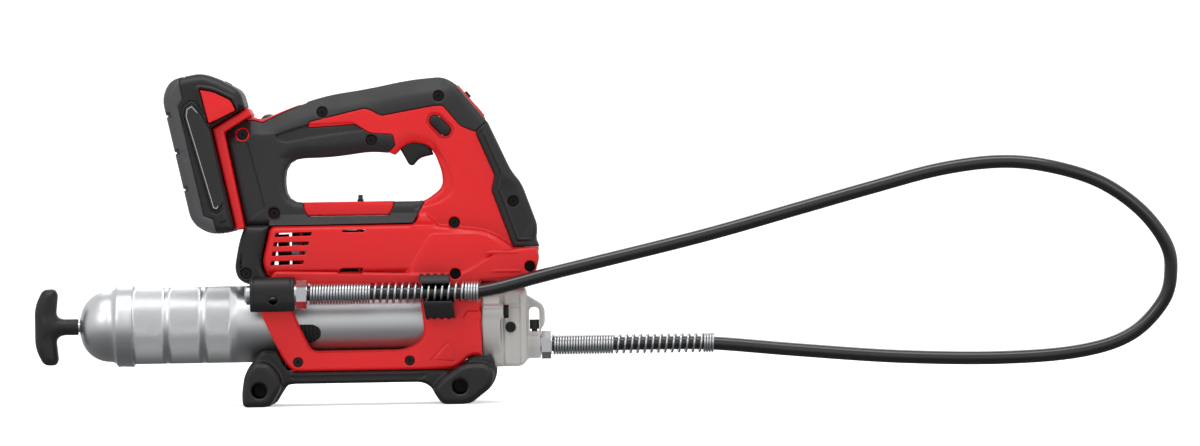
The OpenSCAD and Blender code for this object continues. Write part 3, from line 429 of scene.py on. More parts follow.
def hose_line(step=8):
    """Smooth curve through the route, from the outlet to the coupler."""
    p = [np.array(q, float) for q in ROUTE[::-1]]
    out = []
    for i in range(len(p) - 1):
        a, b, c, d = p[max(i - 1, 0)], p[i], p[i + 1], p[min(i + 2, len(p) - 1)]
        for t in np.arange(step) / step:
            out.append(0.5 * (2 * b + (c - a) * t + (2 * a - 5 * b + 4 * c - d) * t * t
                              + (3 * b - a - 3 * c + d) * t ** 3))
    return out + [p[-1]]


line = hose_line()
hose = finish_piece(tube_curve("hose_skin", line, HOSE_D / 2, 6), "hose_rubber", "tool", replaces=["hose"])
COUPLER_COILS = [(16.6, 61.5, 21), (61.5, 131, 14), (131, 142.6, 5.5)]
OUTLET_COILS = [(196.2, 241, 22), (241, 308, 13), (308, 316, 4)]
coupler_guard = finish_piece(helix("coupler_spring_wire", COUPLER_COILS, 7.1, 1.75, COUP_Y, COUP_Z),
                             "steel", "tool", replaces=["coupler_spring"])
outlet_guard = finish_piece(helix("outlet_spring_wire", OUTLET_COILS, 6.75, 1.65, 0, OUT_Z),
                            "steel", "tool", replaces=["outlet_spring"])

# ---------------------------------------------------------------- outlines, [x, z, corner length]
BARREL_Z, BARREL_R, DRIVE_Z = 61.0, 28.5, 114.5
LOOP_HALF, MOTOR_HALF, FRAME_HALF, PLATE_IN = 18.0, 30.0, 34.0, 30.3
HEAD_X0 = 144.0
LOOP = [(-13.2, 92, 1), (183.5, 91.5, 4), (187, 116, 3), (184.3, 121, 3), (185.6, 131, 6),
        (174, 163, 10), (166.5, 172, 8), (149, 210, 4), (126, 238, 4), (117, 243, 7),
        (92, 241, 14), (60, 234.5, 16), (30, 230.5, 16), (0, 220.7, 14), (-18, 213, 7),
        (-27.5, 217, 2), (-45, 203.8, 2), (-31, 133.8, 2), (-13.2, 133.8, 1)]
HAND = [(-1.6, 150.8, 14), (102.5, 150.6, 6), (116.2, 161, 7), (115.8, 172, 6), (110.6, 186, 4),
        (105.4, 192.6, 4), (94, 195, 5), (87, 191.8, 3), (80.6, 185.4, 1), (76, 187.5, 3),
        (62, 188.6, 8), (32, 184.6, 14), (-1.6, 184.4, 15)]
MOTOR = [(-14, 95.5, 3), (165, 93, 6), (172, 112, 8), (152, 128, 12), (104, 133.6, 8),
         (-12.4, 133.6, 4), (-18.9, 106, 8)]
FRAME = [(-21, 69.8, 1), (-4.5, 34, 5), (2, 25.6, 6), (125, 25.6, 10), (135, 35.6, 5),
         (143.6, 35.6, 1), (143.6, 90, 1), (183, 91.6, 3), (187, 108, 4), (185, 116, 3),
         (156, 113.6, 6), (129, 97, 8), (-10, 101, 3), (-15, 92, 3)]
WINDOW = [(4.2, 69, 8), (17.5, 40.8, 5), (88, 40.8, 8), (101.5, 50, 8), (97.5, 88.2, 4), (0.5, 88.2, 6)]
BOTTOM_RAIL = [(2.6, 25.6), (104, 25.6), (104, 49), (100, 49), (88, 40.8), (17, 40.8), (-2, 33)]
FRONT_BLOCK = [(100, 25.6), (125, 25.6), (135, 35.6), (143.6, 35.6), (143.6, 94), (97, 94), (101, 60)]
REAR = [(-14.3, 96, 1), (-19.3, 106, 6), (-12.8, 133.6, 1), (-31.3, 133.6, 2), (-35.8, 122, 8),
        (-39.2, 103, 8), (-36.5, 94.5, 6), (-29, 90.6, 5), (-17, 90.6, 3)]
NOSE = [(16.5, 206.8, 1), (51.5, 208.8, 1), (63, 201.8, 2), (79.5, 200.7, 1.5), (81.3, 192.5, 1.5),
        (75.8, 187.2, 0.5), (79, 176), (90, 160), (102.4, 150.6, 1), (94, 134.3, 2), (60, 120), (60, 80),
        (200, 80), (200, 115.7), (168, 115.7, 1), (152.7, 158, 2), (155.2, 169, 2), (141.3, 201.5, 2),
        (130, 206.2, 2), (117, 221.7, 2), (110, 221.5, 3), (70.5, 214.6, 3), (65, 218.2, 2),
        (59, 220.4, 2), (17.8, 211, 1.5)]
GUARD = [(168, 115.7, 1), (200, 115.7), (200, 240), (151, 211), (141.3, 201.5, 2), (155.2, 169, 2),
         (152.7, 158, 2)]
GRIP = [(-60, 133.7)] + NOSE[9::-1] + NOSE[:16:-1] + [(151, 211), (151, 260), (-60, 260)]
INSERT = [(12.4, 152.5, 0.5), (12.4, 146, 2), (15.4, 140.6, 1.5), (76, 140.6, 1.5), (79.4, 147, 2),
          (79.4, 152.5, 0.5)]
VENTS = [[(-12.3 + i * 1.1, 104.8 + 7 * i, 0.4), (11.5 + i * 2.1, 105.4 + 7 * i, 0.4),
          (12.5 + i * 2.1, 108 + 7 * i, 0.4), (-11.7 + i * 1.1, 107.6 + 7 * i, 0.4)] for i in range(4)]
VENTS += [[(41, 128.5, 0.4), (57, 128.5, 0.4), (59, 130.2, 0.4), (41.5, 130, 0.4)],
          [(38.5, 99, 0.3), (55, 99, 0.3), (56.5, 101.6, 0.3), (40, 101.6, 0.3)]]
SCREWS = [(27.3, 218.2, 15), (114, 228.9, 15), (63.5, 196.6, 15), (-32.4, 202.4, 15),
          (-9.8, 143.4, 15), (168.4, 149.5, 15), (124.3, 134.4, 15), (180.2, 101, 31), (124.7, 96.4, 31)]
BUTTON = [(109, 213.8, 2), (107.2, 209.6, 2), (116.6, 199.6, 3), (121, 200, 2), (122.6, 204.2, 2),
          (113, 214, 3)]
TRIGGER_SLOT = [(83.2, 191.5), (90, 178), (116, 180), (113, 186.5), (107, 206), (96, 212), (74.5, 208)]
BASE = [(-33.5, 0, 4), (-13.5, 0, 5), (-3.5, 16.5, 8), (103, 16.5, 8), (114, 0, 4), (134, 0, 5),
        (151, 13, 6), (154.5, 24, 5), (151.5, 35.2, 3), (134.8, 35.2, 5), (125, 25.2, 10),
        (1.8, 25.2, 6), (-5.3, 35, 4), (-8.8, 41.5, 1), (-19.5, 41.5, 3), (-31, 28, 8), (-34.3, 10, 6)]
REAR_FOOT = [(-33.4, 0.1, 4), (-13.6, 0.1, 5), (-4.7, 14.8, 6), (-7, 24, 5), (-15, 33, 6),
             (-25, 32.8, 5), (-31.8, 25, 6), (-34.1, 10, 6)]
FRONT_FOOT = [(114.1, 0.1, 4), (133.9, 0.1, 5), (150.6, 13, 6), (152.8, 24, 5), (146, 30, 6),
              (130, 29.8, 6), (112, 18, 6), (107, 10.4, 6)]
FOOT_HOLES = [(-21.2, 12.2), (127.3, 13.1)]
FOOT_HALF, FOOT_HOLE_R, FOOT_HOLE_END = 54, 5.6, 20
REAR_CAP_SCREW = (-30.7, 99)


# ---------------------------------------------------------------- clamshell and grips
FINGERS = [(-9, 201, 4), (15, 208.4, 6), (50, 210, 3), (57.5, 204.4, 2), (24, 200.4, 8), (-2, 196, 4)]
REAR_PAD = [(-44, 197, 2), (-28.5, 197, 2), (-16, 147, 3), (-30, 137.5, 2)]
LEDGE = [(-13.2, 133.2, 1), (96, 133.2, 1), (112, 133.2, 4), (101, 142.4, 5), (-13.2, 141.6, 1)]
SPINE = [(-30, 213.4), (-24, 213), (-17.5, 211.2), (0, 219.2), (15.5, 225.6), (19, 232), (-30, 224)]
BUMPER = [(160, 94), (183, 92.5, 3), (187, 108, 4), (185, 115, 3), (160, 113)]
TRIANGLE = [(106, 32.6, 0.6), (123.6, 31.4, 0.6), (119.4, 46.4, 0.8)]
RIBS = [(150, 173, 96.9, 98.9), (146, 172, 110.6, 112.8), (129, 143.4, 62.6, 68.8)]
PANEL_CUT = [(126.6, 236), (148.4, 209), (160, 218), (140, 250)]
REAR_SCREW_BOSS = SCREWS[3][:2]
SCREW_BORE, SCREW_MOUTH, FRAME_BORE, FLANGE_R = 4.1, 5.2, 28.8, 32.6
WALL, MOTOR_WALL, GRIP_DEPTH, GUARD_DEPTH, COLOUR_GAP = 5, 3, 2, 6, 0.15
PANEL_PROUD, CHAMFER_TOP, BLOCK_OUT = 1.8, 101.2, PLATE_IN + 0.6
CRADLE_RIBS = (9, 52, 70)
RIDGED = [(22, 189), (53, 191.4), (53, 200.6), (22, 197)]
REAR_DOOR = [(-13.2, 134.2), (-60, 134.2), (-60, 80), (-13.2, 80)]
THUMB = [(106, 192, 4), (118, 180, 8), (124, 158, 6), (112, 150, 4), (96, 146), (90, 186)]
BASE_SCREWS, BASE_SCREW_Z, BASE_SCREW_BORE = (7, 90), 32.6, 3.7
BULGE = [(106, 128.4, 4), (150, 128.4, 14), (170, 112, 8), (166, 92), (84, 92), (87.5, 98, 2)]


def handle_form(s, outer, hole):
    """Right half of the loop: broad facets over the hand grip, tighter edges on the nose."""
    ring = soft_cut(outer, hole, 3)
    facet = np.clip((128 - s.X) / 12, 0, 1) * np.clip((s.Z - 196) / 8, 0, 1)
    skin = s.slab(ring, -LOOP_HALF, 60, 5.0)
    slope = (outer / (2 + 11 * facet) + (-s.Y - LOOP_HALF) / (1.2 + 6.3 * facet) + 1) * (0.9 + 4.5 * facet)
    under = np.clip((s.Z - 176) / 8, 0, 1) * np.clip((120 - s.X) / 10, 0, 1)
    belly = (-hole / (2 + 5 * under) + (-s.Y - LOOP_HALF) / (1.5 + 3.5 * under) + 1) * (1.1 + 2.6 * under)
    form = round_join(round_join(skin, slope, 1.5), belly, 1.5)
    # finger hollow under the handle's ridge, and the flat pad beside the battery
    form = soft_cut(form, np.maximum(s.flat(FINGERS), s.Y + LOOP_HALF - 1.9), 2.2)
    form = soft_cut(form, np.maximum(s.flat(REAR_PAD), s.Y + LOOP_HALF - 0.8), 0.7)
    # thumb valley on the inside of the nose
    return soft_cut(form, np.maximum(s.flat(THUMB), s.Y + LOOP_HALF - 0.4), 4.0)


def screw_seats(s, field):
    """Bores for the screws, with a small bevel where they break the surface."""
    for x, z, reach in SCREWS:
        if reach > LOOP_HALF:
            face = -FRAME_HALF
        else:
            face = -LOOP_HALF if x < 150 or z > 110 else -MOTOR_HALF
        bore = np.maximum(s.rod_y(x, z, SCREW_BORE), s.Y + 8)
        flare = (s.rod_y(x, z, 4.7) + (s.Y - face)) * DIAGONAL
        field = cut(field, bore, np.maximum(flare, s.rod_y(x, z, SCREW_MOUTH)))
    return field


def frame_plate(s):
    """Lower frame beside the barrel: a plate with its window, a triangle groove, blocks and ribs."""
    window = s.flat(WINDOW)
    plate = s.bevel(s.flat(FRAME, reach=16), -FRAME_HALF, -PLATE_IN, 2.2)
    plate = cut(plate, window)
    plate = np.maximum(plate, (-window + (-s.Y - FRAME_HALF) + 2.0) * DIAGONAL)
    groove = np.abs(s.flat(TRIANGLE)) - 0.5
    plate = soft_cut(plate, np.maximum(groove, s.Y + FRAME_HALF - 0.5), 0.5)
    # thick blocks behind the plate
    lower = np.minimum(plate, s.slab(s.flat(BOTTOM_RAIL), -BLOCK_OUT, -22))
    lower = np.minimum(lower, s.slab(s.flat(FRONT_BLOCK), -BLOCK_OUT, 1))
    lower = np.minimum(lower, s.slab(s.flat(BUMPER), -BLOCK_OUT, -16))
    # ribs on the frame: along the bumper, and the ledge ahead of the hose clip
    for lo, hi, z0, z1 in RIBS:
        lower = soft_union(lower, s.bevel(s.flat([(lo, z0), (hi, z0), (hi, z1), (lo + 4, z1)]),
                                          -FRAME_HALF - 0.8, -30, 0.9), 0.6)
    return lower


def shells():
    """Red clamshell halves and their black grips; the left ones mirror the right."""
    s = Space((-48, 190), (-36.5, 1), (23, 246))
    X, Y, Z = s.X, s.Y, s.Z
    outer, hole = s.flat(LOOP, reach=30), s.flat(HAND, reach=20)
    skin = handle_form(s, outer, hole)
    motor = s.slab(s.flat(MOTOR, reach=20), -MOTOR_HALF, 60, 5.0)
    # long chamfer low on the motor body
    motor = round_join(motor, ((-Y - MOTOR_HALF) * 0.85 + (CHAMFER_TOP - Z) * 0.62) * 0.95, 0.5)
    guard_zone = s.flat(GUARD, reach=8)
    grip_zone = cut(s.flat(GRIP, reach=6), s.flat(SPINE))
    # raised panel ahead of the motor bulge
    raised = s.bevel(s.flat(BULGE), -MOTOR_HALF - PANEL_PROUD, 0, 3.4)
    raised = np.maximum(raised, (-Y - MOTOR_HALF - PANEL_PROUD + (Z - 118) * 0.10) * 0.99)
    # slope from the rail down to the motor bulge, soft black behind and red in front
    ledge = np.maximum(s.flat(LEDGE), (-Y - LOOP_HALF - (141.6 - Z) * 1.05) * 0.69)
    ledge_red = np.maximum(ledge, (95.2 - X) * 0.8 + (Z - 134) * 0.45)

    grip_form = np.minimum(skin, ledge)
    cavity = np.minimum(np.maximum(skin + WALL, cut(outer + WALL, hole - WALL)),
                        s.slab(s.flat(MOTOR, d=MOTOR_WALL), -MOTOR_HALF + MOTOR_WALL, 60))
    red = cut(skin, np.maximum(grip_zone - COLOUR_GAP, -(skin + GRIP_DEPTH)))
    red = cut(red, np.maximum(guard_zone - COLOUR_GAP, -(skin + GUARD_DEPTH)))
    red = soft_union(red, motor, 2.0)
    red = soft_union(red, ledge_red, 3.0)
    red = soft_union(red, raised, 1.0)
    red = cut(red, cavity)
    # motor cradle ribs, screw bosses, vents, and room for what lies inside
    for x in CRADLE_RIBS:
        red = np.minimum(red, s.box(x, x + 3, -27.5, 0, 98, 131))
    for x, z, reach in SCREWS:
        sunk = 0.2 if (x, z) == REAR_SCREW_BOSS else 2.3
        boss = np.maximum(s.rod_y(x, z, 5.5), -Y - reach - 5)
        red = np.minimum(red, np.maximum(boss, np.minimum(grip_form + sunk, motor + 2)))
    red = np.minimum(red, frame_plate(s))
    for v in VENTS:
        f = s.flat(v)
        red = cut(red, np.maximum(f, Y + 20), np.maximum((f - 0.9 + Y + 31) * DIAGONAL, f - 1.3))
    insert_slot = s.slab(s.flat(INSERT, d=-SEAM), -60, 9)
    panel_slot = s.slab(s.flat(PANEL_CUT), -12.4, 9)
    red = cut(red, np.maximum(s.rod_x(0, DRIVE_Z, 16), between(X, -25, 100)),
              np.maximum(s.rod_x(0, BARREL_Z, FRAME_BORE), X - HEAD_X0),
              np.maximum(s.rod_x(0, BARREL_Z, FLANGE_R + 0.6), HEAD_X0 - 0.5 - X),
              s.box(HEAD_X0 - 0.4, 176.5, -14, 2, 70, 134),
              s.slab(s.flat(TRIGGER_SLOT), -9.4, 9.4), insert_slot,
              s.slab(s.flat(REAR_DOOR), -16, 9),
              s.slab(s.flat(BUTTON, d=-0.5), -60, 9), panel_slot)
    # shallow seat around the lock-off button
    red = soft_cut(red, s.slab(s.flat(BUTTON, d=-2.4), -60, -LOOP_HALF + 1.0), 1.0)
    base_bores = [np.maximum(s.rod_y(x, BASE_SCREW_Z, BASE_SCREW_BORE), Y + FRAME_HALF - 3)
                  for x in BASE_SCREWS]
    right = cut(np.maximum(screw_seats(s, red), Y + SEAM), *base_bores)
    left = cut(np.maximum(red, Y + SEAM), *base_bores)
    finish_piece(s.mesh("right_shell", right), "red", "tool", replaces=["right_housing"])
    finish_piece(s.mesh("left_shell", left, flip_y=True), "red", "tool", replaces=["left_housing"])

    # soft grips: a raised skin with fine ridges for the fingers
    soft = round_join(grip_form - 0.25, grip_zone + 0.25, 0.7)
    ridge = np.cos((X - 23) * (2 * math.pi / 2.9)) * 0.3
    band = np.clip(-np.maximum(s.flat(RIDGED), -6) / 1.5, 0, 1)
    soft = soft - ridge * band * np.clip((-Y - 6) / 4, 0, 1)
    # low bump on top, ahead of the battery
    bump = np.sqrt(((X + 13.0) / 6.4) ** 2 + (Y / 9) ** 2 + ((Z - 212) / 5.6) ** 2) * 5 - 5
    soft = soft_union(soft, bump, 2.5)
    boss = s.rod_y(*REAR_SCREW_BOSS, 5.6)
    hollow = np.maximum(skin + GRIP_DEPTH, cut(outer + GRIP_DEPTH, hole - GRIP_DEPTH))
    soft = cut(soft, hollow, cavity, insert_slot, motor - 0.3, boss, panel_slot)
    grip_right = np.maximum(screw_seats(s, soft), Y + SEAM)
    grip_left = np.maximum(soft, Y + SEAM)
    finish_piece(s.mesh("right_grip_skin", grip_right), "soft_black", "tool", replaces=["right_grip"])
    finish_piece(s.mesh("left_grip_skin", grip_left, flip_y=True), "soft_black", "tool",
                 replaces=["left_grip"])


def guard():
    """Black nose guard: flat inner band, a raised line, and an outer band that slopes away."""
    s = Space((139, 189), (-21.5, 21.5), (113, 214))
    A = np.abs(s.Y)
    outer, zone = s.flat(LOOP, reach=30) - 0.6, s.flat(GUARD, reach=20)
    inner = -zone
    drop = np.clip(inner - 6.2, 0, 14) * 0.2
    ridge = np.clip(1 - np.abs(inner - 5.4) / 0.8, 0, 1) * 0.55
    line = ridge - np.clip(1 - np.abs(inner - 3.6) / 0.9, 0, 1) * 0.5
    face = (A - (LOOP_HALF + 1.6) + drop - line) * 0.93
    edge = (outer + A - LOOP_HALF - 2 + 5.0) * DIAGONAL
    body = round_join(round_join(np.maximum(outer, zone), face, 0.8), edge, 1.5)
    core = np.maximum(outer + 4, A - LOOP_HALF + 4.5)
    bores = (np.maximum(s.rod_y(x, z, SCREW_BORE), s.Y + 8) for x, z, _ in SCREWS)
    body = cut(body, core, *bores)
    finish_piece(s.mesh("guard_skin", body), "black", "tool", replaces=["front_guard"])


def button():
    """Lock-off button: crowned, the same on both sides."""
    s = Space((103, 127), (-21, 21), (196, 218), 0.3)
    d = s.flat(BUTTON, d=-0.36)
    crown = np.clip(-d, 0, 3) * 0.15
    body = np.maximum(round_join(d, np.abs(s.Y) - 19.6 - crown, 0.9), d + 0.02)
    finish_piece(s.mesh("lock_button_skin", body), "black", "lock_button", replaces=["lock_button"])


def rear_cap():
    """Black cap behind the motor, with a crease down each side."""
    s = Space((-41, -11), (-31.5, 31.5), (88, 136))
    shape = [(x, z + 0.9 if z > 130 else z, *r) for x, z, *r in REAR]
    d = s.flat(shape)
    body = s.both(d, MOTOR_HALF, 3.5, 1.6)
    crease = (s.X + 27.5) * -0.33 + (np.abs(s.Y) - MOTOR_HALF + 0.3) * 0.94
    body = round_join(body, crease, 0.6)
    body = cut(body, s.slab(s.flat(REAR, d=3.2), -27, 27), s.box(-22, -10, -26, 26, 99, 130))
    body = np.minimum(body, np.maximum(s.rod_y(*REAR_CAP_SCREW, 5.4), np.abs(s.Y) - 26))
    flare = s.rod_y(*REAR_CAP_SCREW, 4.9) + (s.Y + MOTOR_HALF) * 0.7
    body = cut(body, np.maximum(s.rod_y(*REAR_CAP_SCREW, SCREW_BORE), s.Y + 22),
               np.maximum(flare, s.rod_y(*REAR_CAP_SCREW, 5.4)))
    finish_piece(s.mesh("rear_cap_skin", body), "black", "tool", replaces=["rear_cover"])


def base():
    """Black base: two beams along the frame, four feet with blind round holes, and two cross webs."""
    s = Space((-35.5, 156), (-55, 55), (-1, 43))
    A = np.abs(s.Y)
    side = s.flat(BASE)
    wall = round_join(side, np.maximum(22.4 - A, A - FRAME_HALF - 0.6), 0.8)
    wall = np.maximum(wall, (side + A - FRAME_HALF - 0.6 + 2.2) * DIAGONAL)
    body = wall
    for f in (REAR_FOOT, FRONT_FOOT):
        d = s.flat(f)
        foot = np.maximum(round_join(d, A - FOOT_HALF, 1.0), 33 - A)
        foot = np.maximum(foot, (d + A - FOOT_HALF + 3.0) * DIAGONAL)
        body = soft_union(body, foot, 3.0)
    body = np.minimum(body, s.box(-24, 140, -23.4, 23.4, 17.2, 24.8, 1))
    for x, z in FOOT_HOLES:
        body = np.minimum(body, s.box(x - 9, x + 9, -23.4, 23.4, 3, 22, 1))
    # shallow troughs along the beams, between the feet
    trough = s.flat([(4, 19, 1.5), (99, 19, 1.5), (103, 22.4, 1.5), (1, 22.4, 1.5)])
    body = soft_cut(body, np.maximum(trough, FRAME_HALF + 0.1 - A), 0.7)
    body = cut(body, np.maximum(s.box(-5, 127, -33, 33, 25.3, 44), 21.7 - A),
               s.rod_x(0, BARREL_Z, 29.3), np.maximum(s.rod_x(0, BARREL_Z, 33.4), 143.4 - s.X),
               s.box(148, 160, -24.2, 24.2, 26, 60))
    for x, z in FOOT_HOLES:
        hole = np.maximum(s.rod_y(x, z, FOOT_HOLE_R), FOOT_HOLE_END - A)
        body = cut(body, hole, (hole - 1.2 + (FOOT_HALF - A)) * DIAGONAL)
    body = np.maximum(body, 0.05 - s.Z)
    finish_piece(s.mesh("base_skin", body), "black", "tool", replaces=["base"])


# bores as (y, z), (x, z) and (x, y), by the way each one points
RELIEF, FILLER, BLEED = (-29.2, 67.7), (165, 56), (182.5, 0)
HEAD_HALF, RIB_HALF, FLANGE_END, SLEEVE_R = 23.5, 24.3, 157.6, 5.45
HEAD_SIDE = [(150, 26.6, 2), (173, 26.8, 4), (176.8, 30.5, 3), (176.8, 84, 3), (150, 84, 2)]
STRAP_LOOP = [(168, 47.6, 1), (187, 48, 1), (187.2, 53.4, 2), (190.3, 58, 3), (190.3, 71.5, 5),
              (178, 79, 3), (168, 82, 1)]
STRAP_SLOT = [(178.6, 52.3, 1.5), (186.3, 52.3, 1.5), (186.3, 70.4, 4), (178.6, 70.4, 4)]


def head():
    """Cast pump head: round flange, ribbed body, tower, outlet boss and strap loop."""
    s = Space((142.5, 192), (-36.5, 34.5), (25, 133))
    X, Y, Z = s.X, s.Y, s.Z
    A = np.abs(Y)
    flange = round_join(s.rod_x(0, BARREL_Z, FLANGE_R), between(X, HEAD_X0, FLANGE_END), 1.4)
    body = round_join(s.flat(HEAD_SIDE), A - HEAD_HALF, 3.0)
    for x0, x1 in ((160.2, 162.6), (172.2, 174.6)):
        rib = s.flat([(x0, 29), (x1, 29), (x1, 81), (x0, 81)])
        body = soft_union(body, round_join(rib, A - RIB_HALF, 0.8), 1.0)
    rib = s.flat([(157, 71), (173, 71), (173, 72.6), (157, 72.6)])
    body = soft_union(body, round_join(rib, A - 24.2, 0.7), 1.0)
    body = soft_union(body, flange, 2.5)
    body = soft_union(body, s.box(146, 175.6, -12.8, 12.8, 80, 131, 2), 3.0)
    body = soft_union(body, round_join(s.rod_x(0, OUT_Z, 9.8), between(X, 168, 187), 1.0), 3.0)
    body = soft_union(body, round_join(s.flat(STRAP_LOOP), A - 4.2, 1.6), 2.0)
    boss = round_join(s.rod_x(*RELIEF, 5.6), between(X, HEAD_X0 + 0.4, 159.9), 0.9)
    body = soft_union(body, boss, 1.6)
    body = soft_union(body, round_join(s.rod_y(*FILLER, 5.2), between(Y, -RIB_HALF, 0), 0.5), 0.8)
    # barrel seat, strap slot, yoke chamber, shaft, pump sleeve, outlet, filler, bleed and relief bores
    body = cut(body, np.maximum(s.rod_x(0, BARREL_Z, BARREL_R + 0.1), X - FLANGE_END),
               np.maximum(s.flat(STRAP_SLOT), A - 10),
               s.box(154.6, 171.4, -9, 9, 99, 140),
               np.maximum(s.rod_x(0, DRIVE_Z, 9.03), between(X, 147, 152)),
               np.maximum(s.rod_x(0, DRIVE_Z, 5.8), between(X, 140, 160)),
               np.maximum(s.rod_z(163, 0, SLEEVE_R), 50 - Z), np.maximum(s.rod_x(0, OUT_Z, 5.04), 180 - X),
               np.maximum(s.rod_y(*FILLER, 3.6), Y + 19.5), np.maximum(s.rod_z(*BLEED, 2.15), OUT_Z - Z),
               np.maximum(s.rod_x(*RELIEF, 2.5), 158.1 - X))
    finish_piece(s.mesh("head_casting", body), "cast_grey", "tool", replaces=["pump_head"])


# ---------------------------------------------------------------- hose holders and barrel pad
FRAME_FACE = -34.05


def holder():
    """Coupler holder with two shallow rings and a set screw's hole."""
    s = Space((-28.5, 8), (-55, -33), (69, 98), 0.4)
    rod = s.rod_x(COUP_Y, COUP_Z, 8.2)
    d = s.across([(FRAME_FACE, 70.4, 1), (FRAME_FACE, 96, 1), (-48, 96, 5), (-53.8, 90, 4), (-53.8, 76, 4),
                  (-50, 70.4, 3)])
    body = round_join(d, between(s.X, -27, 5.8), 0.9)
    for x in (-24.2, 3.0):
        body = soft_cut(body, np.maximum(-(d + 0.5), np.abs(s.X - x) - 0.35), 0.4)
    hole = s.rod_y(-9.9, 78.6, 3)
    body = cut(body, rod, np.maximum(hole, s.Y + 40), (hole - 0.8 + (s.Y + 53.8)) * DIAGONAL)
    finish_piece(s.mesh("holder_skin", body), "black", "tool", replaces=["coupler_holder"])


def clip():
    """Spring clip with wavy ends; the coil lies in its gate."""
    s = Space((96, 127), (-52, -33), (60, 100), 0.4)
    lean = s.X + (s.Z - 81) * 0.13
    d = s.across([(FRAME_FACE, 63.4, 1), (FRAME_FACE, 96.6, 1), (-45, 96.6, 4), (-50.5, 90.8, 2),
                  (-49.2, 83, 0.5), (-50.5, 75, 2), (-45, 63.4, 4)])
    wave = np.cos((lean - 101.4) * (2 * math.pi / 5.3)) * 0.75
    tall = np.maximum(s.Z - 96.4 - wave, 63.4 - wave - s.Z)
    body = round_join(round_join(d - 0.7, tall, 0.4), np.abs(lean - 111.2) - 11, 0.9)
    gate = np.maximum(s.Y - COUP_Y, np.abs(s.Z - COUP_Z) - 6.6)
    body = np.maximum(cut(body, s.rod_x(COUP_Y, COUP_Z, 8.15), gate), s.Y - FRAME_FACE)
    finish_piece(s.mesh("clip_skin", body), "black", "tool", replaces=["hose_clip"])


def pad():
    """Ribbed rubber pad between the frame and the barrel."""
    s = Space((-4, 26), (-31, -20), (45, 62), 0.3)
    rod = np.maximum(s.rod_x(0, BARREL_Z, 30.1), -s.rod_x(0, BARREL_Z, 28.65))
    d = s.flat([(-3, 46.6, 1), (18, 46.6, 5), (24.2, 51, 5), (24.2, 57, 4), (19, 60.5, 3), (-3, 60.5, 1)])
    body = round_join(rod, d, 0.5)
    groove = np.cos((s.X - 8 + (s.Z - 53) * 0.12) * (2 * math.pi / 2.9)) * 0.45
    groove = groove * np.clip((s.X - 6.5) / 1.5, 0, 1)
    body = np.maximum(body, s.rod_x(0, BARREL_Z, 29.6) - groove)
    finish_piece(s.mesh("pad_skin", body), "soft_black", "tool", look=EXTRA["rubber"],
                 replaces=["barrel_pad"])


# ---------------------------------------------------------------- barrel and its T-handle
KNURLED = [(-116, -92.6), (-89.4, -65.5), (-62.3, -37.5)]
KNURL_DEPTH, KNURL_STEPS = 0.16, 1120


def barrel():
    """Aluminium tube with three knurled bands, and its rolled cap."""
    r = BARREL_R
    prof = [(-124.6, r - 1.5), (-125, r - 1.2), (-125, r - 0.3), (-124.7, r), (-116.2, r)]
    for x0, x1 in KNURLED:
        prof += [(x0, r), (x0 + 0.5, r + 0.02)]
        prof += [(x, r + 0.02) for x in np.linspace(x0 + 2.2, x1 - 2.2, 9)]
        prof += [(x1 - 0.5, r + 0.02), (x1, r)]
        if x1 < -40:
            prof += [(x1 + 0.3, r - KNURL_DEPTH), (x1 + 2.85, r - KNURL_DEPTH)]
    prof += [(155.4, r), (156, r - 0.5), (156, r - 1.2), (155.7, r - 1.5)]

    def knurl(x, i):
        deep = 0.0
        for x0, x1 in KNURLED:
            if x0 + 0.3 < x < x1 - 0.3:
                deep = KNURL_DEPTH if x < x1 - 4 or x1 < -40 else KNURL_DEPTH / 2
        return deep * (i % 4 > 1)

    tube = lathe("barrel_skin", prof, BARREL_Z, KNURL_STEPS, wobble=knurl, ring=True)
    finish_piece(tube, "alu", "barrel", replaces=["barrel_tube"])
    a = np.radians(np.arange(0, 81, 4))
    out = [(-134 - 22 * math.sin(t), 5 + 21.5 * math.cos(t)) for t in a]
    prof = [(-116, 28.55), (-116, 29.7), (-116.3, 30.3), (-117, 30.5), (-119, 30.4), (-125, 30.2),
            (-127.6, 30.4), (-128.4, 30.1), (-129, 29.3), (-130, 27.9), (-131, 27.2), (-132.4, 26.8)] + out
    prof += [(-156.2, 7.2), (-156.4, 6.2), (-156.2, 4.3), (-154.5, 4.06), (-153.5, 4.06)]
    prof += [(x + 2.4, max(4.4, q - 2.2)) for x, q in out[::-1]] + [(-125.2, 24.4), (-125.2, 28.55)]
    finish_piece(lathe("cap_skin", prof, BARREL_Z, 192, ring=True), "alu", "barrel",
                 replaces=["barrel_cap"])


def t_handle():
    """Waisted bar across the rod's end, on a short stem."""
    s = Space((-191.5, -156.5), (-9, 9), (30.5, 91.5), 0.4)
    half = 28.5
    bar = [(-175.4, BARREL_Z, 20), (-172.8, BARREL_Z + half - 4, 3), (-175, BARREL_Z + half, 3),
           (-184, BARREL_Z + half, 5), (-190.3, BARREL_Z + half - 13, 9), (-190.3, BARREL_Z - half + 13, 9),
           (-184, BARREL_Z - half, 5), (-175, BARREL_Z - half, 3), (-172.8, BARREL_Z - half + 4, 3)]
    A = np.abs(s.Y)
    d = s.flat(bar, 9)
    grip = round_join(round_join(d, A - 8, 2.0), (d + A - 8 + 4.2) * DIAGONAL, 1.5)
    radius = 6.0 + np.clip((-s.X - 168) / 6, 0, 1.4) * 1.3
    stem = np.maximum(np.hypot(s.Y, s.Z - BARREL_Z) - radius, np.maximum(-182 - s.X, s.X + 158))
    body = soft_union(grip, stem, 5.0)
    body = cut(body, np.maximum(s.rod_x(0, BARREL_Z, 4.02), -176.1 - s.X))
    finish_piece(s.mesh("t_handle_skin", body), "black", "rod", replaces=["t_handle"])


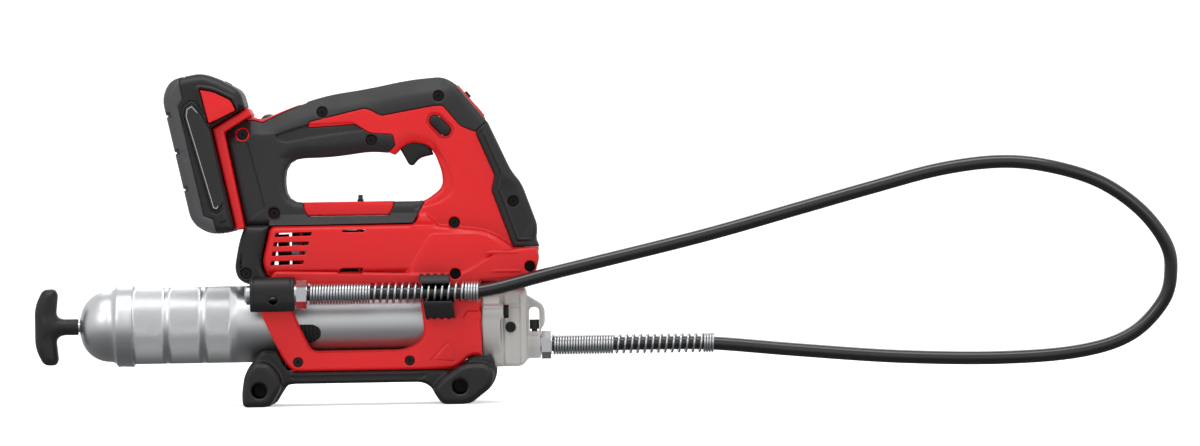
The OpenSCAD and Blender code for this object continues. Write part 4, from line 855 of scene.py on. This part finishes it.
# ---------------------------------------------------------------- battery
LEAN, PACK_FOOT = math.radians(12.36), (-35, 131)
CASE_HALF, LID_HALF = 37.1, 38.5
GAUGE, GAUGE_TILT = (15.4, 108.4), math.radians(41)
PACK = [(-20, 1, 9), (-3.2, 1, 2), (-3.2, 78.9, 1), (25.2, 88.2, 2), (24.6, 101.5, 5),
        (9.5, 114.6, 8), (-1, 120.4, 8), (-24, 120.8, 12), (-33.2, 109, 9), (-33.2, 13, 12)]
COVER = [(-60, -20), (-16.6, -20), (-16.6, 12.6), (-22.8, 16.5), (-22.8, 99.5),
         (-18.5, 104), (-16.8, 140), (-60, 140)]
LABEL = [(-12, 17.6, 1), (-5.6, 24, 1), (-4.4, 79, 1), (-8, 92, 1), (-12.2, 99.6, 1), (-18, 97.4, 1),
         (-20.2, 91.5, 1), (-15.9, 19.8, 1)]
LATCH = [(-3.6, 82.4, 1), (18, 87.4, 1.5), (16.2, 95.4, 2), (5, 104.4, 3), (-4.4, 108.4, 1)]


def lean_back(p):
    """Points of the upright battery, tilted and moved onto the rail."""
    x, z = p[:, 0].copy(), p[:, 2].copy()
    p[:, 0] = PACK_FOOT[0] + x * math.cos(LEAN) - z * math.sin(LEAN)
    p[:, 2] = PACK_FOOT[1] + x * math.sin(LEAN) + z * math.cos(LEAN)
    return p


def battery():
    """Battery in its own upright frame; lean_back stands each mesh on the tool's tilted rail."""
    s = Space((-35, 27), (-40, 40), (-1, 123))
    X, Y, Z = s.X, s.Y, s.Z
    A = np.abs(Y)
    d, cover = s.flat(PACK, reach=20), s.flat(COVER)
    label, latch = s.flat(LABEL), s.flat(LATCH)
    # lower case: flat sides with a wide bevel, sunk panels for the label and the latch
    body = s.both(d, CASE_HALF, 4.5, 1.5)
    rim = np.maximum(np.abs(latch - 2.1) - 0.9, A - 38.0)
    body = soft_union(body, np.maximum(rim, d + 1.6), 0.8)
    body = np.maximum(body, -cover + 0.12)
    seam = np.abs(X + 13.6) - 0.4
    seam = np.maximum(seam, np.maximum(-(d + 0.9), -between(Z, 13, 103)))
    body = soft_cut(body, seam, 0.5)
    body = cut(body, np.maximum(label - 0.25, 35.9 - A), np.maximum(latch - 0.5, 29.5 - A))
    body = soft_cut(body, np.maximum(np.maximum(label - 2.6, -(label - 1.4)), 36.5 - A), 0.5)
    # stepped foot of the case
    step = s.flat([(-12.5, 0.5, 2), (-4, 0.5, 2), (-4, 10.6, 1), (-12.5, 8.6, 1)])
    body = soft_cut(body, np.maximum(step, 36.3 - A), 0.6)
    body = np.minimum(body, s.box(-4.6, 0.9, -16.2, 16.2, 12, 80.5, 0.4))
    body = np.minimum(body, s.box(0.9, 3.9, -20.2, 20.2, 12, 80.5, 0.5))
    body = cut(body, *(s.box(0.9, 6, y - 0.5, y + 1.5, 10, 22) for y in (-11.5, 10.5)))
    # seat of the gauge button in the slanted top
    x, z = X - GAUGE[0], Z - GAUGE[1]
    u = x * math.cos(GAUGE_TILT) - z * math.sin(GAUGE_TILT)
    depth = -(x * math.sin(GAUGE_TILT) + z * math.cos(GAUGE_TILT)) - 5
    body = cut(body, np.maximum(np.hypot(u, Y) - 3.1, depth))
    finish_piece(s.mesh("case_skin", body, place=lean_back), "black", "battery", replaces=["battery_case"])
    # rear cover: grey wrap with a lipped edge and three notches
    lid = s.both(d, LID_HALF, 4.5, 1.5)
    lid = np.maximum(lid, cover)
    lid = np.maximum(lid, (cover + A - LID_HALF + 1.3) * DIAGONAL)
    for z in (38, 66, 94):
        lid = cut(lid, s.box(-36, -31.6, -32.5, -10, z, z + 1.5), s.box(-36, -29.4, 33, 45, z - 1, z + 3.4),
                  s.box(-36, -29.4, -45, -33, z - 1, z + 3.4))
    dent = s.flat([(-29.4, 60, 1), (-25.6, 60, 1), (-25.6, 67, 1), (-29.4, 67, 1)])
    lid = soft_cut(lid, np.maximum(dent, 37.8 - A), 0.5)
    finish_piece(s.mesh("lid_skin", lid, place=lean_back), "black", "battery", look=EXTRA["grey"],
                 replaces=["battery_cover"])
    # label film with its thin light border, on both sides
    film = round_join(label + 0.1, np.maximum(A - 37.6, 36 - A), 0.3)
    finish_piece(s.mesh("label_film", film, place=lean_back), "label", "battery",
                 replaces=["battery_label"])
    fine = Space((-21, -3), (36.9, 38.1), (15.5, 101.5), 0.2)
    edge = fine.flat(LABEL)
    rear_half = fine.X + 10.2 - (fine.Z - 60) * 0.012
    border = np.maximum(np.maximum(np.abs(edge + 1.7) - 0.3, np.abs(fine.Y - 37.55) - 0.16), rear_half)
    for name, flip in (("label_border_left", False), ("label_border_right", True)):
        finish_piece(fine.mesh(name, border, flip_y=flip, place=lean_back), "label", "battery",
                     look=EXTRA["line"])
    # latch buttons: crowned, with a beveled edge
    crown = np.clip(-latch, 0, 5) * 0.22
    button = round_join(latch, A - 37.2 - crown, 0.8)
    for name, flip in (("latch_left", False), ("latch_right", True)):
        side = np.maximum(button, 33 - Y)
        side = np.minimum(side, s.box(1, 9, 26.5, 33.5, 90, 100, 0.6))
        finish_piece(s.mesh(name + "_skin", side, flip_y=flip, place=lean_back), "red", name,
                     replaces=[name])


shells()
guard()
button()
rear_cap()
base()
head()
holder()
clip()
pad()
barrel()
t_handle()
battery()

# ---------------------------------------------------------------- carried-over CAD nodes
BEVELS = {"terminal_block": 0.3, "rail_slider": 0.4, "switch_module": 0.8, "trigger": 0.5,
          "speed_panel": 0.4, "speed_slider": 0.3, "lamp_lens": 0.3, "rail_insert": 0.3,
          "battery_foot": 0.6}
WELD = 0.00001


def carry_over():
    """Materials and small edge bevels for the CAD nodes that no piece above replaces."""
    for node, ob in NODES.items():
        if ob.hide_render:
            continue
        ob.data.materials.clear()
        ob.data.materials.append(LOOKS[SLOTS[node]])
        for poly in ob.data.polygons:
            poly.use_smooth = True
        weld = ob.modifiers.new("weld", "WELD")
        weld.merge_threshold = WELD
        if node in BEVELS:
            flat = ob.modifiers.new("flat", "DECIMATE")
            flat.decimate_type = "DISSOLVE"
            flat.angle_limit = math.radians(1)
            bev = ob.modifiers.new("bevel", "BEVEL")
            bev.width = BEVELS[node] * MM
            bev.segments = 2
            bev.limit_method = "ANGLE"
            bev.angle_limit = math.radians(32)
        split = ob.modifiers.new("edges", "EDGE_SPLIT")
        split.split_angle = SHARP
        split.use_edge_sharp = False


carry_over()

# ---------------------------------------------------------------- floor and light
HALL, CURVE_FROM, CURVE_R = 9000, 8000, 1500


def stage_floor():
    """Pale floor that curves up into a backdrop, far behind every camera."""
    sweep = [(y, 0) for y in (-HALL, -3000, -900, 0, 1200, 4000, CURVE_FROM)]
    sweep += [(CURVE_FROM + CURVE_R * math.sin(a), CURVE_R - CURVE_R * math.cos(a))
              for a in np.linspace(0.12, math.pi / 2, 14)]
    sweep.append((CURVE_FROM + CURVE_R, HALL))
    floor = mesh_object("floor", [(x, y, z) for y, z in sweep for x in (-HALL, HALL)],
                        [(2 * i, 2 * i + 1, 2 * i + 3, 2 * i + 2) for i in range(len(sweep) - 1)])
    floor.data.materials.append(material("floor", (0.95, 0.95, 0.95), 0.75, grain=(30, 0.02),
                                         mottle=(2, 0.01), edge=0, gloss=0.1, glow=0.5))
    floor.visible_glossy = False


def softbox(name, place, aim, size, power):
    """Rectangular area light; places are in metres."""
    light = bpy.data.lights.new(name, "AREA")
    light.shape = "RECTANGLE"
    light.size, light.size_y = size
    light.energy = power
    ob = bpy.data.objects.new(name, light)
    bpy.context.scene.collection.objects.link(ob)
    ob.location = place
    ob.rotation_euler = (Vector(aim) - Vector(place)).to_track_quat("-Z", "Y").to_euler()


def studio_world(levels):
    """Soft studio surround from (height, grey level) steps: bright above the horizon, darker below."""
    world = bpy.data.worlds.new("studio")
    world.use_nodes = True
    tree = world.node_tree
    new, link = tree.nodes.new, tree.links.new
    way = new("ShaderNodeTexCoord")
    split = new("ShaderNodeSeparateXYZ")
    height = new("ShaderNodeMapRange")
    height.inputs["From Min"].default_value = -1
    ramp = new("ShaderNodeValToRGB")
    for place, _ in levels[1:-1]:
        ramp.color_ramp.elements.new(place)
    for mark, (place, level) in zip(ramp.color_ramp.elements, levels, strict=True):
        mark.position = place
        mark.color = (level * 0.98, level * 0.985, level, 1)
    link(way.outputs["Generated"], split.inputs[0])
    link(split.outputs["Z"], height.inputs["Value"])
    link(height.outputs["Result"], ramp.inputs["Fac"])
    link(ramp.outputs["Color"], tree.nodes["Background"].inputs["Color"])
    bpy.context.scene.world = world


stage_floor()
softbox("top", (0.15, -0.5, 1.6), (0.15, 0, 0.1), (2.0, 0.8), 16)
softbox("key", (-1.3, -1.9, 1.3), (0.1, 0, 0.12), (1.0, 0.8), 7.5)
softbox("fill", (1.9, -1.9, 0.9), (0.2, 0, 0.1), (0.5, 1.2), 3)
softbox("back", (0.3, 1.5, 1.3), (0.1, 0, 0.15), (1.8, 0.7), 8)
studio_world(((0.0, 0.12), (0.3, 0.2), (0.46, 0.55), (0.56, 0.82), (0.8, 0.8), (1.0, 0.55)))
